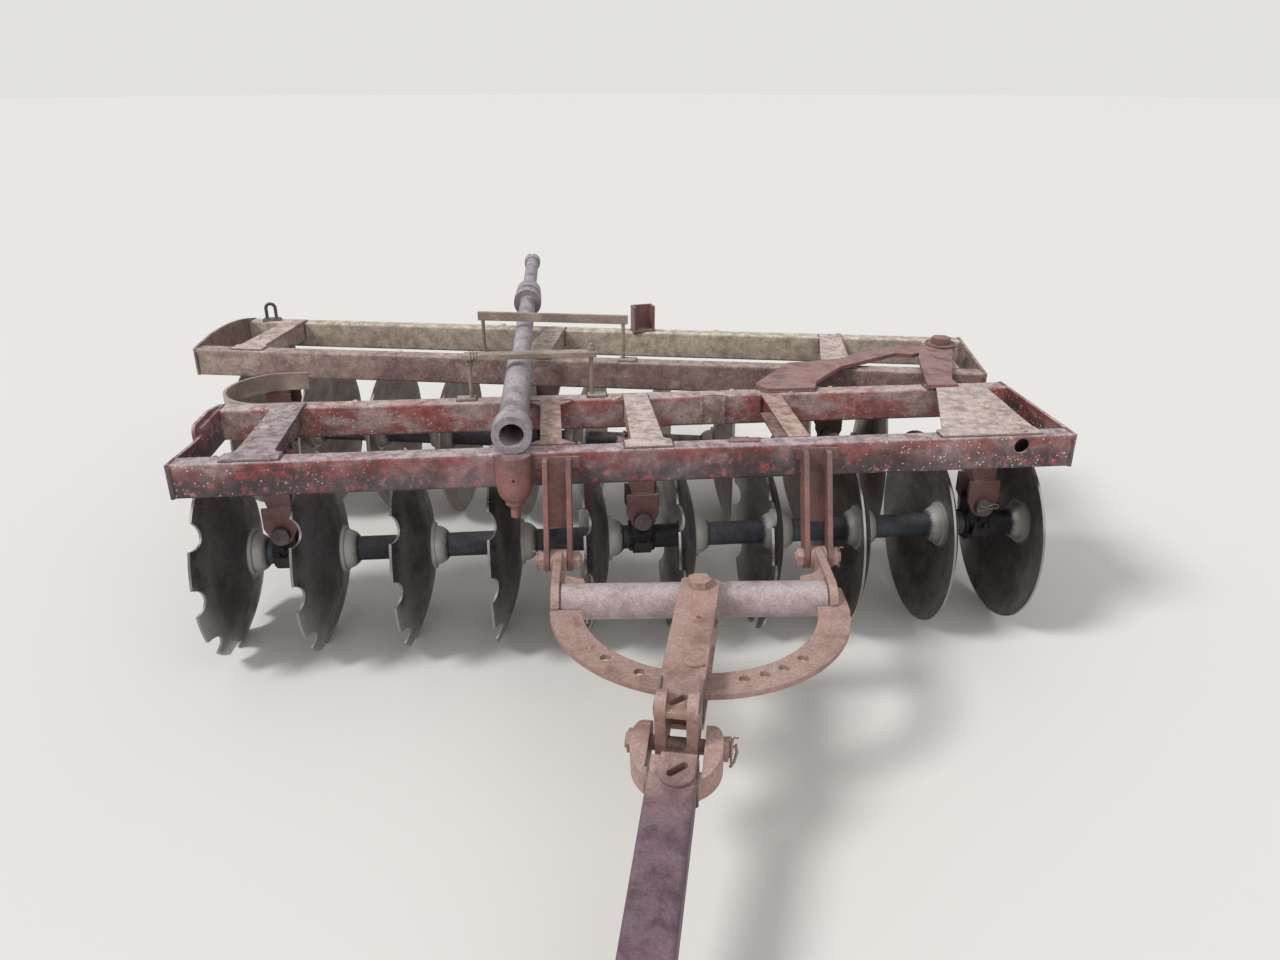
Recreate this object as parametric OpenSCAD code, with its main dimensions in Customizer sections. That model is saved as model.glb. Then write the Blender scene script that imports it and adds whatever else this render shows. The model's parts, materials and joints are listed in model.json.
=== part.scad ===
/* [Frames] */
// Height of every main beam
beam_h = 100; // [80:1:130]
// Front to back width of a main beam
beam_w = 60; // [45:1:80]
// Height of the frames' top above the ground
frame_top = 700; // [680:1:760]
// From the front frame's right hanger rail to its end
front_over = 150; // [120:5:240]
// Outside depth of the front frame, over both beams
front_depth = 500; // [470:5:600]
// From the rear frame's left hanger rail to its end
rear_over = 204.5; // [182:0.5:272]
// Outside depth of the rear frame, over both beams
rear_depth = 480; // [470:5:600]
// Thickness of the frames' end plates
end_plate_t = 10; // [6:1:16]
// Rise of the rounded top edge of the rear frame's left end plate
end_plate_rise = 30; // [10:1:45]
// Radius of the beams' rounded corners
beam_corner = 9; // [3:1:14]
// Height of the cross members
rail_h = 70; // [50:1:80]
// Width of a hanger rail under its cover plate
rail_w = 76; // [60:1:80]
// Thickness of the rails' cover plates
cover_t = 6; // [4:1:10]
// Wall of the cross members
rail_t = 8; // [5:1:12]

/* [V angle] */
// Angle of the front frame to the line across the harrow
front_angle = 5.3; // [2:0.1:10]
// Angle of the rear frame to the line across the harrow
rear_angle = -6.2; // [-10:0.1:-2]
// Hinge pivot, in from the right end of the front frame
pivot_inset = 80; // [60:5:160]
// Hinge pivot, back from the centre line of the front frame
pivot_d = 595; // [585:5:680]
// Hinge pivot, in from the right end of the rear frame
pivot_rear_inset = 120; // [92:2:142]

/* [Gangs] */
// Diameter of the discs
disc_d = 610; // [580:2:620]
// Thickness of a disc
disc_t = 6; // [4:0.5:8]
// Depth of the dish from its flat centre to the rim
dish_depth = 77; // [60:1:84]
// Radius of the flat centre of a disc
disc_flat_r = 73; // [66:1:76]
// Discs on each gang
disc_count = 10; // [10:1:10]
// Discs of the front gang that have notches, from the open side
notched_count = 7; // [5:1:9]
// Notches round a notched disc
notch_count = 10; // [8:1:12]
// Radius of a notch
notch_r = 42; // [30:1:50]
// Distance of a notch's centre outside the rim
notch_out = 8; // [4:1:20]
// Distance from disc to disc along the gang
disc_pitch = 270; // [262:1:280]
// Shift of the front gang along its frame
front_gang_shift = 60; // [50:1:80]
// Shift of the rear gang along its frame
rear_gang_shift = -178; // [-190:1:-165]
// Side of the square gang shaft
shaft_side = 38; // [30:1:42]
// Diameter of a spool at its waist
spool_d = 74; // [66:1:84]
// Diameter of a spool's round bells
spool_bell_d = 120; // [108:1:124]
// Thickness of the ring at each end of a spool
spool_ring_t = 10; // [6:1:14]
// Thickness of the cast washer at each end of a gang
gang_washer_t = 20; // [16:1:30]
// Width across the flats of the gang nut
gang_nut_af = 65; // [55:1:75]
// Thickness of the gang nut
gang_nut_t = 32; // [24:1:40]

/* [Hangers] */
// Shift of the hangers off the middle of their spool, towards the next disc's rim
hanger_bias = 30; // [20:1:40]
// Width of a hanger plate
hanger_w = 98; // [90:1:104]
// Thickness of a hanger plate
hanger_t = 12; // [8:1:14]
// Clear space between the two plates of a hanger
hanger_gap = 76; // [66:1:90]
// Height of the hanger pin above the gang axis
hanger_pin_up = 82; // [80:1:100]
// Diameter of the hanger pin
hanger_pin_d = 30; // [22:1:34]
// Outside diameter of the bearing housing
bearing_d = 104; // [96:1:106]
// Length of the bearing housing along the axis
bearing_len = 78; // [60:1:90]

/* [Hitch] */
// Centre of the hitch along the front frame
hitch_u = 130; // [100:1:150]
// Turn of the hitch off the front frame, towards square with the pull
hitch_turn = -3.7; // [-4.5:0.1:0]
// Distance between the middles of the two ear pairs
ear_spacing = 722; // [680:2:740]
// Distance of the ear pins in front of the front beam
ear_reach = 95; // [80:1:120]
// Height of the ear pins above the ground
ear_pin_z = 405; // [385:1:430]
// Thickness of an ear plate
ear_t = 14; // [10:1:18]
// Clear space between the two ears of a pair
ear_gap = 50; // [44:1:56]
// Diameter of the ear pins
ear_pin_d = 32; // [26:1:36]
// Distance from the ear pins to the hitch tube
tube_reach = 183; // [170:1:210]
// Drop of the hitch tube below the ear pins
tube_drop = 25; // [10:1:40]
// Outside diameter of the hitch tube
tube_d = 95; // [85:1:105]
// Thickness of the cheeks at the ends of the hitch tube
cheek_t = 22; // [16:1:24]
// Distance of the head's pivot in front of the hitch tube's middle
pivot_lead = 38; // [34:1:44]
// Distance of the head's pivot to the side of the hitch's middle
pivot_side = 12; // [0:1:20]
// Outer radius of the quadrant plate
quadrant_r = 386; // [376:1:400]
// Width of the quadrant plate along its arc
quadrant_w = 82; // [70:1:84]
// Thickness of the quadrant plate
quadrant_t = 14; // [10:1:16]
// Diameter of the quadrant's locking holes
quadrant_hole_d = 26; // [20:1:30]

/* [Drawbar] */
// Angle of the drawbar head off the hitch's centre line
head_angle = 10.1; // [4:0.1:12]
// Width of the drawbar head's plates
head_w = 100; // [90:1:110]
// Thickness of the drawbar head's plates
head_t = 14; // [10:1:18]
// Diameter of the head's pivot pin
head_pin_d = 36; // [30:1:42]
// Distance from the head's pivot to the knuckle pin
knuckle_reach = 478; // [470:1:500]
// Height of the knuckle pin above the ground
knuckle_z = 320; // [300:1:330]
// Diameter of the knuckle pin
knuckle_pin_d = 34; // [28:1:38]
// Length of the drawbar from the knuckle pin to the centre of its eye
drawbar_len = 1560; // [1400:10:1800]
// Width of the drawbar
drawbar_w = 104; // [96:1:110]
// Height of the drawbar
drawbar_h = 76; // [60:1:84]
// Diameter of the hole in the drawbar's eye
eye_bore_d = 42; // [32:1:50]
// Outside diameter of the drawbar's eye
eye_d = 116; // [100:1:130]
// Thickness of the drawbar's eye
eye_t = 40; // [30:1:50]

/* [Levelling spindle] */
// Distance of the spindle and its socket from the middle of the left ears
spindle_aside = 115; // [113:1:150]
// Turn of the spindle off the frame's depth direction
spindle_yaw = -1; // [-2:0.5:1]
// Rise of the spindle towards the rear
spindle_rise = 1.5; // [1:0.1:2]
// Length of the whole spindle
spindle_len = 2180; // [2000:10:2300]
// Outside diameter of the ring at the spindle's front end
spindle_ring_d = 110; // [100:1:120]
// Bore of the spindle tube
spindle_bore_d = 67; // [60:1:70]
// Outside diameter of the spindle tube
spindle_tube_d = 84; // [78:1:90]
// Length of the outer spindle tube
spindle_tube_len = 640; // [600:5:700]
// Diameter of the spindle's inner tube inside the outer one
spindle_rod_d = 66; // [58:1:66]

/* [Hidden] */
$fn = 64;

// Paint, rust and bare steel
red_paint = "#8c4a45";
tan_paint = "#8f7d68";
clay = "#a8927c";
rust = "#8e6a5a";
dark_steel = "#3b3a3c";
worn_steel = "#6d6a68";
grease = "#2a2828";

// Running clearance round a pin, on the radius
pin_fit = 0.05;
// Clearance between faces that slide past each other
side_gap = 5;
// A piece that is welded to a round one stands this far off it
seat_gap = 0.3;
// A cut runs this far past the face it opens
past = 1;

beam_z = frame_top - beam_h;
rail_z = frame_top - rail_h;
axis_z = disc_d / 2;
front_in = front_depth / 2 - beam_w;
rear_in = rear_depth / 2 - beam_w;
tube_z = ear_pin_z - tube_drop;

function turned(p, a) = [p[0] * cos(a) - p[1] * sin(a), p[0] * sin(a) + p[1] * cos(a)];

// Places of the hanger rails along a frame: they carry the gang's first, middle and last gap
function hanger_us(shift, side) = [
    for (gap = [1, 5, 9]) shift + (gap - 5) * disc_pitch - side * hanger_bias
];
front_hanger_us = hanger_us(front_gang_shift, 1);
rear_hanger_us = hanger_us(rear_gang_shift, -1);

// Lengths of the frames along their beams
front_len = 2 * (front_hanger_us[2] + front_over);
rear_len = 2 * (rear_over - rear_hanger_us[0]);

// Places in plan, before the whole stands on its own middle
ear_d = -front_depth / 2 - ear_reach;
pivot_u = front_len / 2 - pivot_inset;
pivot_rear_u = rear_len / 2 - pivot_rear_inset;
pivot_at = turned([pivot_u, pivot_d], front_angle);
rear_at = pivot_at - turned([pivot_rear_u, 0], rear_angle);
ears_at = turned([hitch_u, ear_d], front_angle);
hitch_dir = front_angle + hitch_turn;
hitch_pivot_at = ears_at + turned([pivot_side, -tube_reach - pivot_lead], hitch_dir);
head_turn = hitch_dir - head_angle;
knuckle_at = hitch_pivot_at + turned([0, -knuckle_reach], head_turn);

// The drawbar slopes until its eye lies on the ground
drawbar_run = [drawbar_len + eye_d / 2, eye_t / 2];
drawbar_slope = asin(knuckle_z / norm(drawbar_run)) - atan2(drawbar_run[1], drawbar_run[0]);
eye_at = knuckle_at + turned([0, -drawbar_len * cos(drawbar_slope)], head_turn);

// From a gang's middle to the end of its shaft
shaft_over = 8;
gang_end = (disc_count - 1) / 2 * disc_pitch + gang_washer_t + gang_nut_t + shaft_over;

// Outer corners, for the middle of the whole
reach_right = max(
    turned([front_len / 2, -front_depth / 2], front_angle)[0],
    turned([front_gang_shift + gang_end, -shaft_side / 2], front_angle)[0]);
reach_left = min(
    (rear_at + turned([-rear_len / 2, -rear_depth / 2], rear_angle))[0],
    (rear_at + turned([rear_gang_shift - gang_end, -shaft_side / 2], rear_angle))[0]);
spindle_u = round(hitch_u - ear_spacing / 2 * cos(hitch_turn)) - spindle_aside;
spindle_from = [spindle_u, -front_depth / 2 - 8];
reach_back = turned(spindle_from, front_angle)[1]
    + spindle_len * cos(spindle_rise) * cos(front_angle + spindle_yaw);
reach_front = eye_at[1] - eye_d / 2;
middle = [(reach_left + reach_right) / 2, (reach_front + reach_back) / 2];

module on_front() {
    translate([-middle[0], -middle[1], 0])
        rotate([0, 0, front_angle])
            children();
}

module on_rear() {
    translate([rear_at[0] - middle[0], rear_at[1] - middle[1], 0])
        rotate([0, 0, rear_angle])
            children();
}

// Origin midway between the ear pins, X along them
module on_hitch() {
    translate([ears_at[0] - middle[0], ears_at[1] - middle[1], ear_pin_z])
        rotate([0, 0, hitch_dir])
            children();
}

// Origin on the head's pivot at the height of the hitch tube, -Y towards the drawbar
module on_head() {
    translate([hitch_pivot_at[0] - middle[0], hitch_pivot_at[1] - middle[1], tube_z])
        rotate([0, 0, head_turn])
            children();
}

// Origin on the knuckle pin, -Y along the sloping drawbar
module on_drawbar() {
    translate([knuckle_at[0] - middle[0], knuckle_at[1] - middle[1], knuckle_z])
        rotate([0, 0, head_turn])
            rotate([drawbar_slope, 0, 0])
                children();
}

// A box that runs along X, centred on Y, from z up
module bar(length, depth, height) {
    translate([-length / 2, -depth / 2, 0])
        cube([length, depth, height]);
}

// Rectangle with round corners, centred
module round_rect(width, height, r) {
    square([width - 2 * r, height], center = true);
    square([width, height - 2 * r], center = true);
    for (x = [-1, 1], y = [-1, 1])
        translate([x * (width / 2 - r), y * (height / 2 - r)])
            circle(r = r);
}

// Outline round two circles and their outer tangents, which run a hair inside the circles
module link(a, ra, b, rb) {
    hair = 0.05;
    along = atan2(b[1] - a[1], b[0] - a[0]);
    spread = acos((ra - rb) / norm(b - a));
    n = [for (s = [1, -1]) [cos(along + s * spread), sin(along + s * spread)]];
    polygon([
        a + (ra - hair) * n[0], b + (rb - hair) * n[0],
        b + (rb - hair) * n[1], a + (ra - hair) * n[1]
    ]);
    translate(a)
        circle(r = ra);
    translate(b)
        circle(r = rb);
}

// Where a line from p touches the circle of radius r about the origin, on side s
function touch(p, r, s) =
    let (a = atan2(p[1], p[0]) + s * acos(r / norm(p)))
    [r * cos(a), r * sin(a)];

// Cylinder along X, centred
module rod_x(d, length) {
    rotate([0, 90, 0])
        cylinder(d = d, h = length, center = true);
}

// Cylinder along Y, centred
module rod_y(d, length) {
    rotate([90, 0, 0])
        cylinder(d = d, h = length, center = true);
}

// Box beam with open ends, as long as its frame between the end plates
module box_beam(length) {
    translate([-length / 2, 0, beam_h / 2])
        rotate([90, 0, 90])
            linear_extrude(length)
                difference() {
                    round_rect(beam_w, beam_h, beam_corner);
                    square([beam_w - 2 * rail_t, beam_h - 2 * rail_t], center = true);
                }
}

module frame_beam(frame_len, at_d) {
    translate([0, at_d, beam_z])
        box_beam(frame_len - 2 * end_plate_t);
}

// Place and size of the hose hole through the front beam's face
hose_hole = [1100, 670, 44];

module front_beam() {
    color(red_paint) on_front()
        difference() {
            frame_beam(front_len, -(front_depth - beam_w) / 2);
            translate([hose_hole[0], -front_depth / 2, hose_hole[1]])
                rod_y(hose_hole[2], beam_w);
        }
}

module second_beam() {
    color(red_paint) on_front()
        frame_beam(front_len, (front_depth - beam_w) / 2);
}

module rear_front_beam() {
    color(rust) on_rear()
        frame_beam(rear_len, -(rear_depth - beam_w) / 2);
}

module rear_back_beam() {
    color(tan_paint) on_rear()
        frame_beam(rear_len, (rear_depth - beam_w) / 2);
}

// Stands an outline (depth, height) up as the end plate on one side of a frame
module end_plate(frame_len, side, out = 0) {
    translate([side * (frame_len / 2 - end_plate_t / 2 + out) - end_plate_t / 2, 0, 0])
        rotate([90, 0, 90])
            linear_extrude(end_plate_t)
                children();
}

// Plate as high as the beams
module straight_outline(depth) {
    translate([-depth / 2, beam_z])
        square([depth, beam_h]);
}

// Plate whose top edge is a low arc
module arched_outline(depth) {
    arc_r = (depth * depth / 4 + end_plate_rise * end_plate_rise) / (2 * end_plate_rise);
    intersection() {
        translate([-depth / 2, beam_z])
            square([depth, beam_h + end_plate_rise]);
        translate([0, frame_top + end_plate_rise - arc_r])
            circle(r = arc_r, $fn = 200);
    }
}

// The front frame's left end has two lapped plates: the front one sags towards the lap, the
// rear one stands up over it with a round corner
lap_sag = 18;
lap_rise = 17;
lap_corner = 22;
lap_over = 30;
lap_slope = 110;

module sagging_outline(depth) {
    polygon([
        [-depth / 2, beam_z], [depth / 2, beam_z], [depth / 2, frame_top],
        [lap_over, frame_top], [lap_over, frame_top - lap_sag],
        [-lap_over, frame_top - lap_sag], [-depth / 2, frame_top]
    ]);
}

module raised_outline(depth) {
    flat = depth / 2 - lap_slope;
    translate([0, beam_z])
        square([depth / 2, beam_h]);
    polygon([
        [0, frame_top - past], [depth / 2, frame_top - past], [flat, frame_top + lap_rise],
        [lap_corner, frame_top + lap_rise], [lap_corner, frame_top + lap_rise - lap_corner],
        [0, frame_top + lap_rise - lap_corner]
    ]);
    translate([lap_corner, frame_top + lap_rise - lap_corner])
        circle(r = lap_corner);
}

module front_end_plates() {
    color(red_paint) on_front() {
        end_plate(front_len, 1)
            straight_outline(front_depth);
        end_plate(front_len, -1)
            sagging_outline(front_depth);
        end_plate(front_len, -1, end_plate_t)
            raised_outline(front_depth);
    }
}

module rear_end_plates() {
    color(rust) on_rear() {
        end_plate(rear_len, 1)
            straight_outline(rear_depth);
        end_plate(rear_len, -1)
            arched_outline(rear_depth);
    }
}

// Rolled channel lying between two beams, open side down
module hanger_rail(inside) {
    translate([0, 0, rail_z])
        difference() {
            bar(rail_w, 2 * inside, rail_h);
            translate([0, 0, -past])
                bar(rail_w - 2 * rail_t, 2 * inside + 2 * past, rail_h - rail_t + past);
        }
}

// Concave corner of radius r that opens towards -Y, on side s
module flare(r, s) {
    scale([s, 1])
        difference() {
            square(r);
            translate([r, r])
                circle(r = r);
        }
}

// Tapered cover plate on a rail: it laps the front beam with a splayed foot
// c: edges of the foot, edges where it leaves that beam, edges at the rear beam, rear lap
module rail_cover(inside, c) {
    neck = 34;
    foot_d = -inside - beam_w + beam_corner;
    neck_d = -inside + neck;
    translate([0, 0, frame_top])
        linear_extrude(cover_t) {
            polygon([
                [c[2], neck_d], [c[3], neck_d],
                [c[5], inside + c[6]], [c[4], inside + c[6]]
            ]);
            translate([c[0], foot_d])
                square([c[1] - c[0], -inside - foot_d]);
            translate([c[2], -inside - past])
                square([c[3] - c[2], neck_d + inside + 2 * past]);
            translate([c[2], -inside])
                flare(min(c[2] - c[0], neck_d + inside), -1);
            translate([c[3], -inside])
                flare(min(c[1] - c[3], neck_d + inside), 1);
        }
}

// Covers of the front and rear rails, from their middle
front_covers = [
    [-72, 82, -46, 58, -38, 52, 30],
    [-66, 66, -46, 46, -38, 38, 30],
    [-244, 50, -215, 46, -98, 66, -past]
];
rear_covers = [
    [-60, 58, -46, 44, -38, 38, 30],
    [-62, 62, -46, 46, -38, 38, 30],
    [-82, 62, -56, 46, -40, 40, 30]
];

// Bolt holes in the foot of the widest cover: along the frame from the rail, depth
widest_cover = 2;
foot_hole_d = 12;
foot_holes = [[6, -front_depth / 2 + 22], [7, -front_depth / 2 + 46]];

module front_rails() {
    color(clay) on_front()
        for (i = [0:2])
            translate([front_hanger_us[i], 0, 0]) {
                hanger_rail(front_in);
                difference() {
                    rail_cover(front_in, front_covers[i]);
                    if (i == widest_cover)
                        for (hole = foot_holes)
                            translate([hole[0], hole[1], frame_top - past])
                                cylinder(d = foot_hole_d, h = cover_t + 2 * past);
                }
            }
}

module rear_rails() {
    color(clay) on_rear()
        for (i = [0:2])
            translate([rear_hanger_us[i], 0, 0]) {
                hanger_rail(rear_in);
                rail_cover(rear_in, rear_covers[i]);
            }
}

// Channels on edge between the front frame's beams: place along the frame, side the web faces
tie_channels = [[-240, 1], [465, -1]];

gusset = 42;

module front_channels() {
    color(rust) on_front() {
        for (row = tie_channels)
            translate([row[0], 0, rail_z])
                difference() {
                    bar(rail_h - rail_t, 2 * front_in, rail_h);
                    translate([row[1] * rail_t, 0, rail_t])
                        bar(rail_h - rail_t, 2 * front_in + 2 * past, rail_h - 2 * rail_t);
                }
        // Corner gussets beside the first channel
        for (x = [-1, 1], y = [-1, 1])
            translate([tie_channels[0][0] + x * (rail_h - rail_t) / 2, y * front_in, rail_z])
                translate([0, 0, rail_h - rail_t])
                    linear_extrude(rail_t)
                        polygon([[0, 0], [x * gusset, 0], [0, -y * gusset]]);
    }
}

// Column of a hanger, over its pin: left edge at the rail, left edge at its foot, right edge
column = [-70, -30, 37];
column_foot = 70;
shield_top = 82;
shield_shoulder = 18;
shield_round = 36;
// The hanger's head plate stands out this far beside the rail
head_over = 20;

// Shield with a flat top and a round lower end about the pin
module shield_outline() {
    half = hanger_w / 2;
    low = touch([half, shield_shoulder], shield_round, -1);
    difference() {
        union() {
            polygon([
                [-half, shield_top], [half, shield_top], [half, shield_shoulder], low,
                [-low[0], low[1]], [-half, shield_shoulder]
            ]);
            circle(r = shield_round);
        }
        circle(d = hanger_pin_d + 2 * pin_fit);
    }
}

// Cast column under the rail, with two shields that hold the pin
module hanger(side) {
    pin_z = axis_z + hanger_pin_up;
    scale([side, 1, 1]) {
        for (front = [0, 1])
            translate([0, hanger_gap / 2 - front * (hanger_gap + hanger_t) + hanger_t, pin_z])
                rotate([90, 0, 0])
                    linear_extrude(hanger_t)
                        shield_outline();
        difference() {
            translate([0, hanger_gap / 2, pin_z])
                rotate([90, 0, 0])
                    linear_extrude(hanger_gap)
                        polygon([
                            [column[0], rail_z - pin_z], [column[1], column_foot],
                            [column[2], column_foot], [column[2], rail_z - pin_z]
                        ]);
            translate([(column[1] + column[2]) / 2, 0, pin_z])
                bar(column[2] - column[1] - 2 * hanger_t, hanger_gap - 2 * hanger_t,
                    rail_z - pin_z - hanger_t);
        }
    }
    translate([0, 0, rail_z - hanger_t])
        bar(rail_w + 2 * head_over, hanger_gap + 2 * hanger_t, hanger_t);
}

module front_hangers() {
    color(rust) on_front()
        for (u = front_hanger_us)
            translate([u, 0, 0])
                hanger(1);
}

module rear_hangers() {
    color(rust) on_rear()
        for (u = rear_hanger_us)
            translate([u, 0, 0])
                hanger(-1);
}

module hanger_pin() {
    pin_out = 22;
    pin_head_t = 18;
    length = hanger_gap + 2 * hanger_t + 2 * pin_out;
    translate([0, 0, axis_z + hanger_pin_up]) {
        rod_y(hanger_pin_d, length);
        translate([0, (pin_head_t - length) / 2, 0])
            rod_y(hanger_pin_d + 24, pin_head_t);
    }
}

module front_hanger_pins() {
    color(worn_steel) on_front()
        for (u = front_hanger_us)
            translate([u, 0, 0])
                hanger_pin();
}

module rear_hanger_pins() {
    color(worn_steel) on_rear()
        for (u = rear_hanger_us)
            translate([u, 0, 0])
                hanger_pin();
}

// Split cast housing round the spool's waist, with a lug up to the hanger pin
module bearing() {
    lug_w = hanger_gap - 4;
    lug_len = bearing_len - 10;
    barrel_len = bearing_len - 22;
    end_ring_d = bearing_d - 16;
    flange_w = bearing_d + 40;
    flange_t = 26;
    difference() {
        union() {
            translate([0, 0, axis_z]) {
                rod_x(bearing_d, barrel_len);
                rod_x(end_ring_d, bearing_len);
            }
            translate([0, 0, axis_z - flange_t / 2])
                bar(barrel_len, flange_w, flange_t);
            translate([0, 0, axis_z])
                bar(lug_len, lug_w, hanger_pin_up);
            translate([0, 0, axis_z + hanger_pin_up])
                rod_y(lug_len, lug_w);
        }
        translate([0, 0, axis_z])
            rod_x(spool_d + 2 * pin_fit, bearing_len + 2 * past);
        translate([0, 0, axis_z + hanger_pin_up])
            rod_y(hanger_pin_d + 2 * pin_fit, lug_w + 2 * past);
    }
}

module front_bearings() {
    color(grease) on_front()
        for (u = front_hanger_us)
            translate([u, 0, 0])
                bearing();
}

module rear_bearings() {
    color(grease) on_rear()
        for (u = rear_hanger_us)
            translate([u, 0, 0])
                bearing();
}

// Radius of the dish, from its flat centre's edge to the rim
dish_q = (pow(disc_d / 2, 2) - pow(disc_flat_r, 2) - pow(dish_depth, 2)) / (2 * dish_depth);
dish_r = sqrt(pow(disc_d / 2, 2) + dish_q * dish_q);

// A disc lies on the plane x = 0 with its flat centre, its rim at x = dish_depth
module disc(notched) {
    sag = dish_r - sqrt(dish_r * dish_r - disc_flat_r * disc_flat_r);
    difference() {
        rotate([0, 90, 0])
            rotate_extrude($fn = 96) {
                square([disc_flat_r + 2, disc_t]);
                intersection() {
                    translate([0, dish_r - sag])
                        difference() {
                            circle(r = dish_r, $fn = 400);
                            circle(r = dish_r - disc_t, $fn = 400);
                        }
                    translate([disc_flat_r, 0])
                        square([disc_d / 2 - disc_flat_r, dish_r]);
                }
            }
        cube([3 * disc_t, shaft_side + 2, shaft_side + 2], center = true);
        if (notched)
            for (i = [0:notch_count - 1])
                rotate([(i + 0.5) * 360 / notch_count, 0, 0])
                    translate([dish_depth / 2 + disc_t, 0, disc_d / 2 + notch_out])
                        rod_x(2 * notch_r, dish_depth + 4 * disc_t);
    }
}

function disc_u(shift, k) = shift + (k - (disc_count - 1) / 2) * disc_pitch;

// Discs from first to last on a gang, dish towards side (-1 or 1)
module disc_row(shift, first, last, side, notched) {
    for (k = [first:last])
        translate([disc_u(shift, k), 0, axis_z])
            scale([side, 1, 1])
                disc(notched);
}

module notched_discs() {
    color(dark_steel) on_front()
        disc_row(front_gang_shift, 0, notched_count - 1, -1, true);
}

module front_plain_discs() {
    color(dark_steel) on_front()
        disc_row(front_gang_shift, notched_count, disc_count - 1, -1, false);
}

module rear_discs() {
    color(clay) on_rear()
        disc_row(rear_gang_shift, 0, disc_count - 1, 1, false);
}

// Cast spool that keeps two discs apart: a waist, two round bells and two end rings
module spool() {
    length = disc_pitch - disc_t;
    bore_r = shaft_side * sqrt(2) / 2 + 1;
    bell_r = 44;
    rotate([0, 90, 0])
        rotate_extrude()
            difference() {
                union() {
                    square([spool_d / 2, length]);
                    for (z = [0, length - spool_ring_t])
                        translate([0, z])
                            square([disc_flat_r - 2, spool_ring_t]);
                    for (z = [spool_ring_t, length - spool_ring_t])
                        intersection() {
                            translate([spool_bell_d / 2 - bell_r, z])
                                circle(r = bell_r);
                            translate([0, spool_ring_t / 2])
                                square([spool_bell_d, length - spool_ring_t]);
                        }
                }
                translate([-past, -past])
                    square([bore_r + past, length + 2 * past]);
                translate([-spool_bell_d, -past])
                    square([spool_bell_d, length + 2 * past]);
            }
}

module spool_row(shift, side) {
    for (k = [0:disc_count - 2])
        translate([disc_u(shift, k) + (side > 0 ? disc_t : 0), 0, axis_z])
            spool();
}

module front_spools() {
    color(worn_steel) on_front()
        spool_row(front_gang_shift, -1);
}

module rear_spools() {
    color(worn_steel) on_rear()
        spool_row(rear_gang_shift, 1);
}

// Square shaft through the discs and spools, with a cast washer and nut at each end
module gang_shaft(shift, side) {
    first = disc_u(shift, 0) - (side < 0 ? disc_t : 0);
    last = disc_u(shift, disc_count - 1) + (side > 0 ? disc_t : 0);
    over = gang_washer_t + gang_nut_t + shaft_over;
    translate([(first + last) / 2, 0, axis_z])
        cube([last - first + 2 * over, shaft_side, shaft_side], center = true);
    for (end = [[first, 180], [last, 0]])
        translate([end[0], 0, axis_z])
            rotate([0, 90, 0])
                rotate([0, end[1], 0]) {
                    cylinder(d1 = 2 * disc_flat_r - 8, d2 = 84, h = gang_washer_t);
                    translate([0, 0, gang_washer_t])
                        cylinder(d = gang_nut_af / cos(30), h = gang_nut_t, $fn = 6);
                }
}

module front_shaft() {
    color(worn_steel) on_front()
        gang_shaft(front_gang_shift, -1);
}

module rear_shaft() {
    color(worn_steel) on_rear()
        gang_shaft(rear_gang_shift, 1);
}

ear_round = 31;
// An ear's heel above the beam's underside, and the web's lower edge above the pin
ear_heel = 8;
web_from = 82;
web_t = 12;
// Upper front corner of an ear: in front of the beam, under its top
ear_corner = [40, 16];
// Pad across a pair of ears: past each ear, height, its foot under the beam's top
ear_pad = [23, 34, 46];

// Side outline of an ear (towards the beam, up), its pin at the origin
module ear_outline(reach) {
    top = [reach - ear_corner[0], frame_top - ear_corner[1] - ear_pin_z];
    heel = [reach, beam_z + ear_heel - ear_pin_z];
    front_touch = touch(top, ear_round, 1);
    back_touch = touch(heel, ear_round, -1);
    polygon([top, [reach, top[1]], heel, back_touch, [0, 0], front_touch]);
    circle(r = ear_round);
}

// Pair of ears down to one hitch pin, with the web that joins them at the beam and a pad
module ear_pair(reach) {
    for (side = [-1, 1])
        translate([side * (ear_gap + ear_t) / 2 - ear_t / 2, 0, 0])
            rotate([90, 0, 90])
                difference() {
                    linear_extrude(ear_t)
                        ear_outline(reach);
                    translate([0, 0, -past])
                        cylinder(d = ear_pin_d + 2 * pin_fit, h = ear_t + 2 * past);
                }
    // The web follows the ears' rear edges
    translate([-ear_gap / 2 - past, 0, 0])
        rotate([90, 0, 90])
            linear_extrude(ear_gap + 2 * past)
                intersection() {
                    difference() {
                        ear_outline(reach);
                        translate([-web_t, web_t / 2])
                            ear_outline(reach);
                    }
                    translate([0, web_from])
                        square([2 * reach, beam_h + frame_top]);
                }
    translate([0, reach - web_t / 2, frame_top - ear_pad[2] - ear_pin_z])
        bar(ear_gap + 2 * ear_t + 2 * ear_pad[0], web_t, ear_pad[1]);
}

module ear_brackets() {
    color(rust)
        difference() {
            on_hitch()
                for (side = [-1, 1])
                    translate([side * ear_spacing / 2, 0, 0])
                        ear_pair(ear_reach - side * ear_spacing / 2 * sin(hitch_turn) + web_t / 2);
            on_front()
                translate([-front_len / 2, -front_depth / 2, 0])
                    cube([front_len, beam_w, 2 * frame_top]);
        }
}

module ear_pins() {
    length = ear_gap + 2 * ear_t;
    out = 25;
    head_t = 20;
    color(worn_steel) on_hitch()
        for (side = [-1, 1])
            translate([side * ear_spacing / 2, 0, 0]) {
                rod_x(ear_pin_d, length + 2 * out);
                translate([-side * (length + head_t) / 2, 0, 0])
                    rotate([0, 90, 0])
                        cylinder(d = ear_pin_d + 22, h = head_t, center = true, $fn = 6);
            }
}

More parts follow.
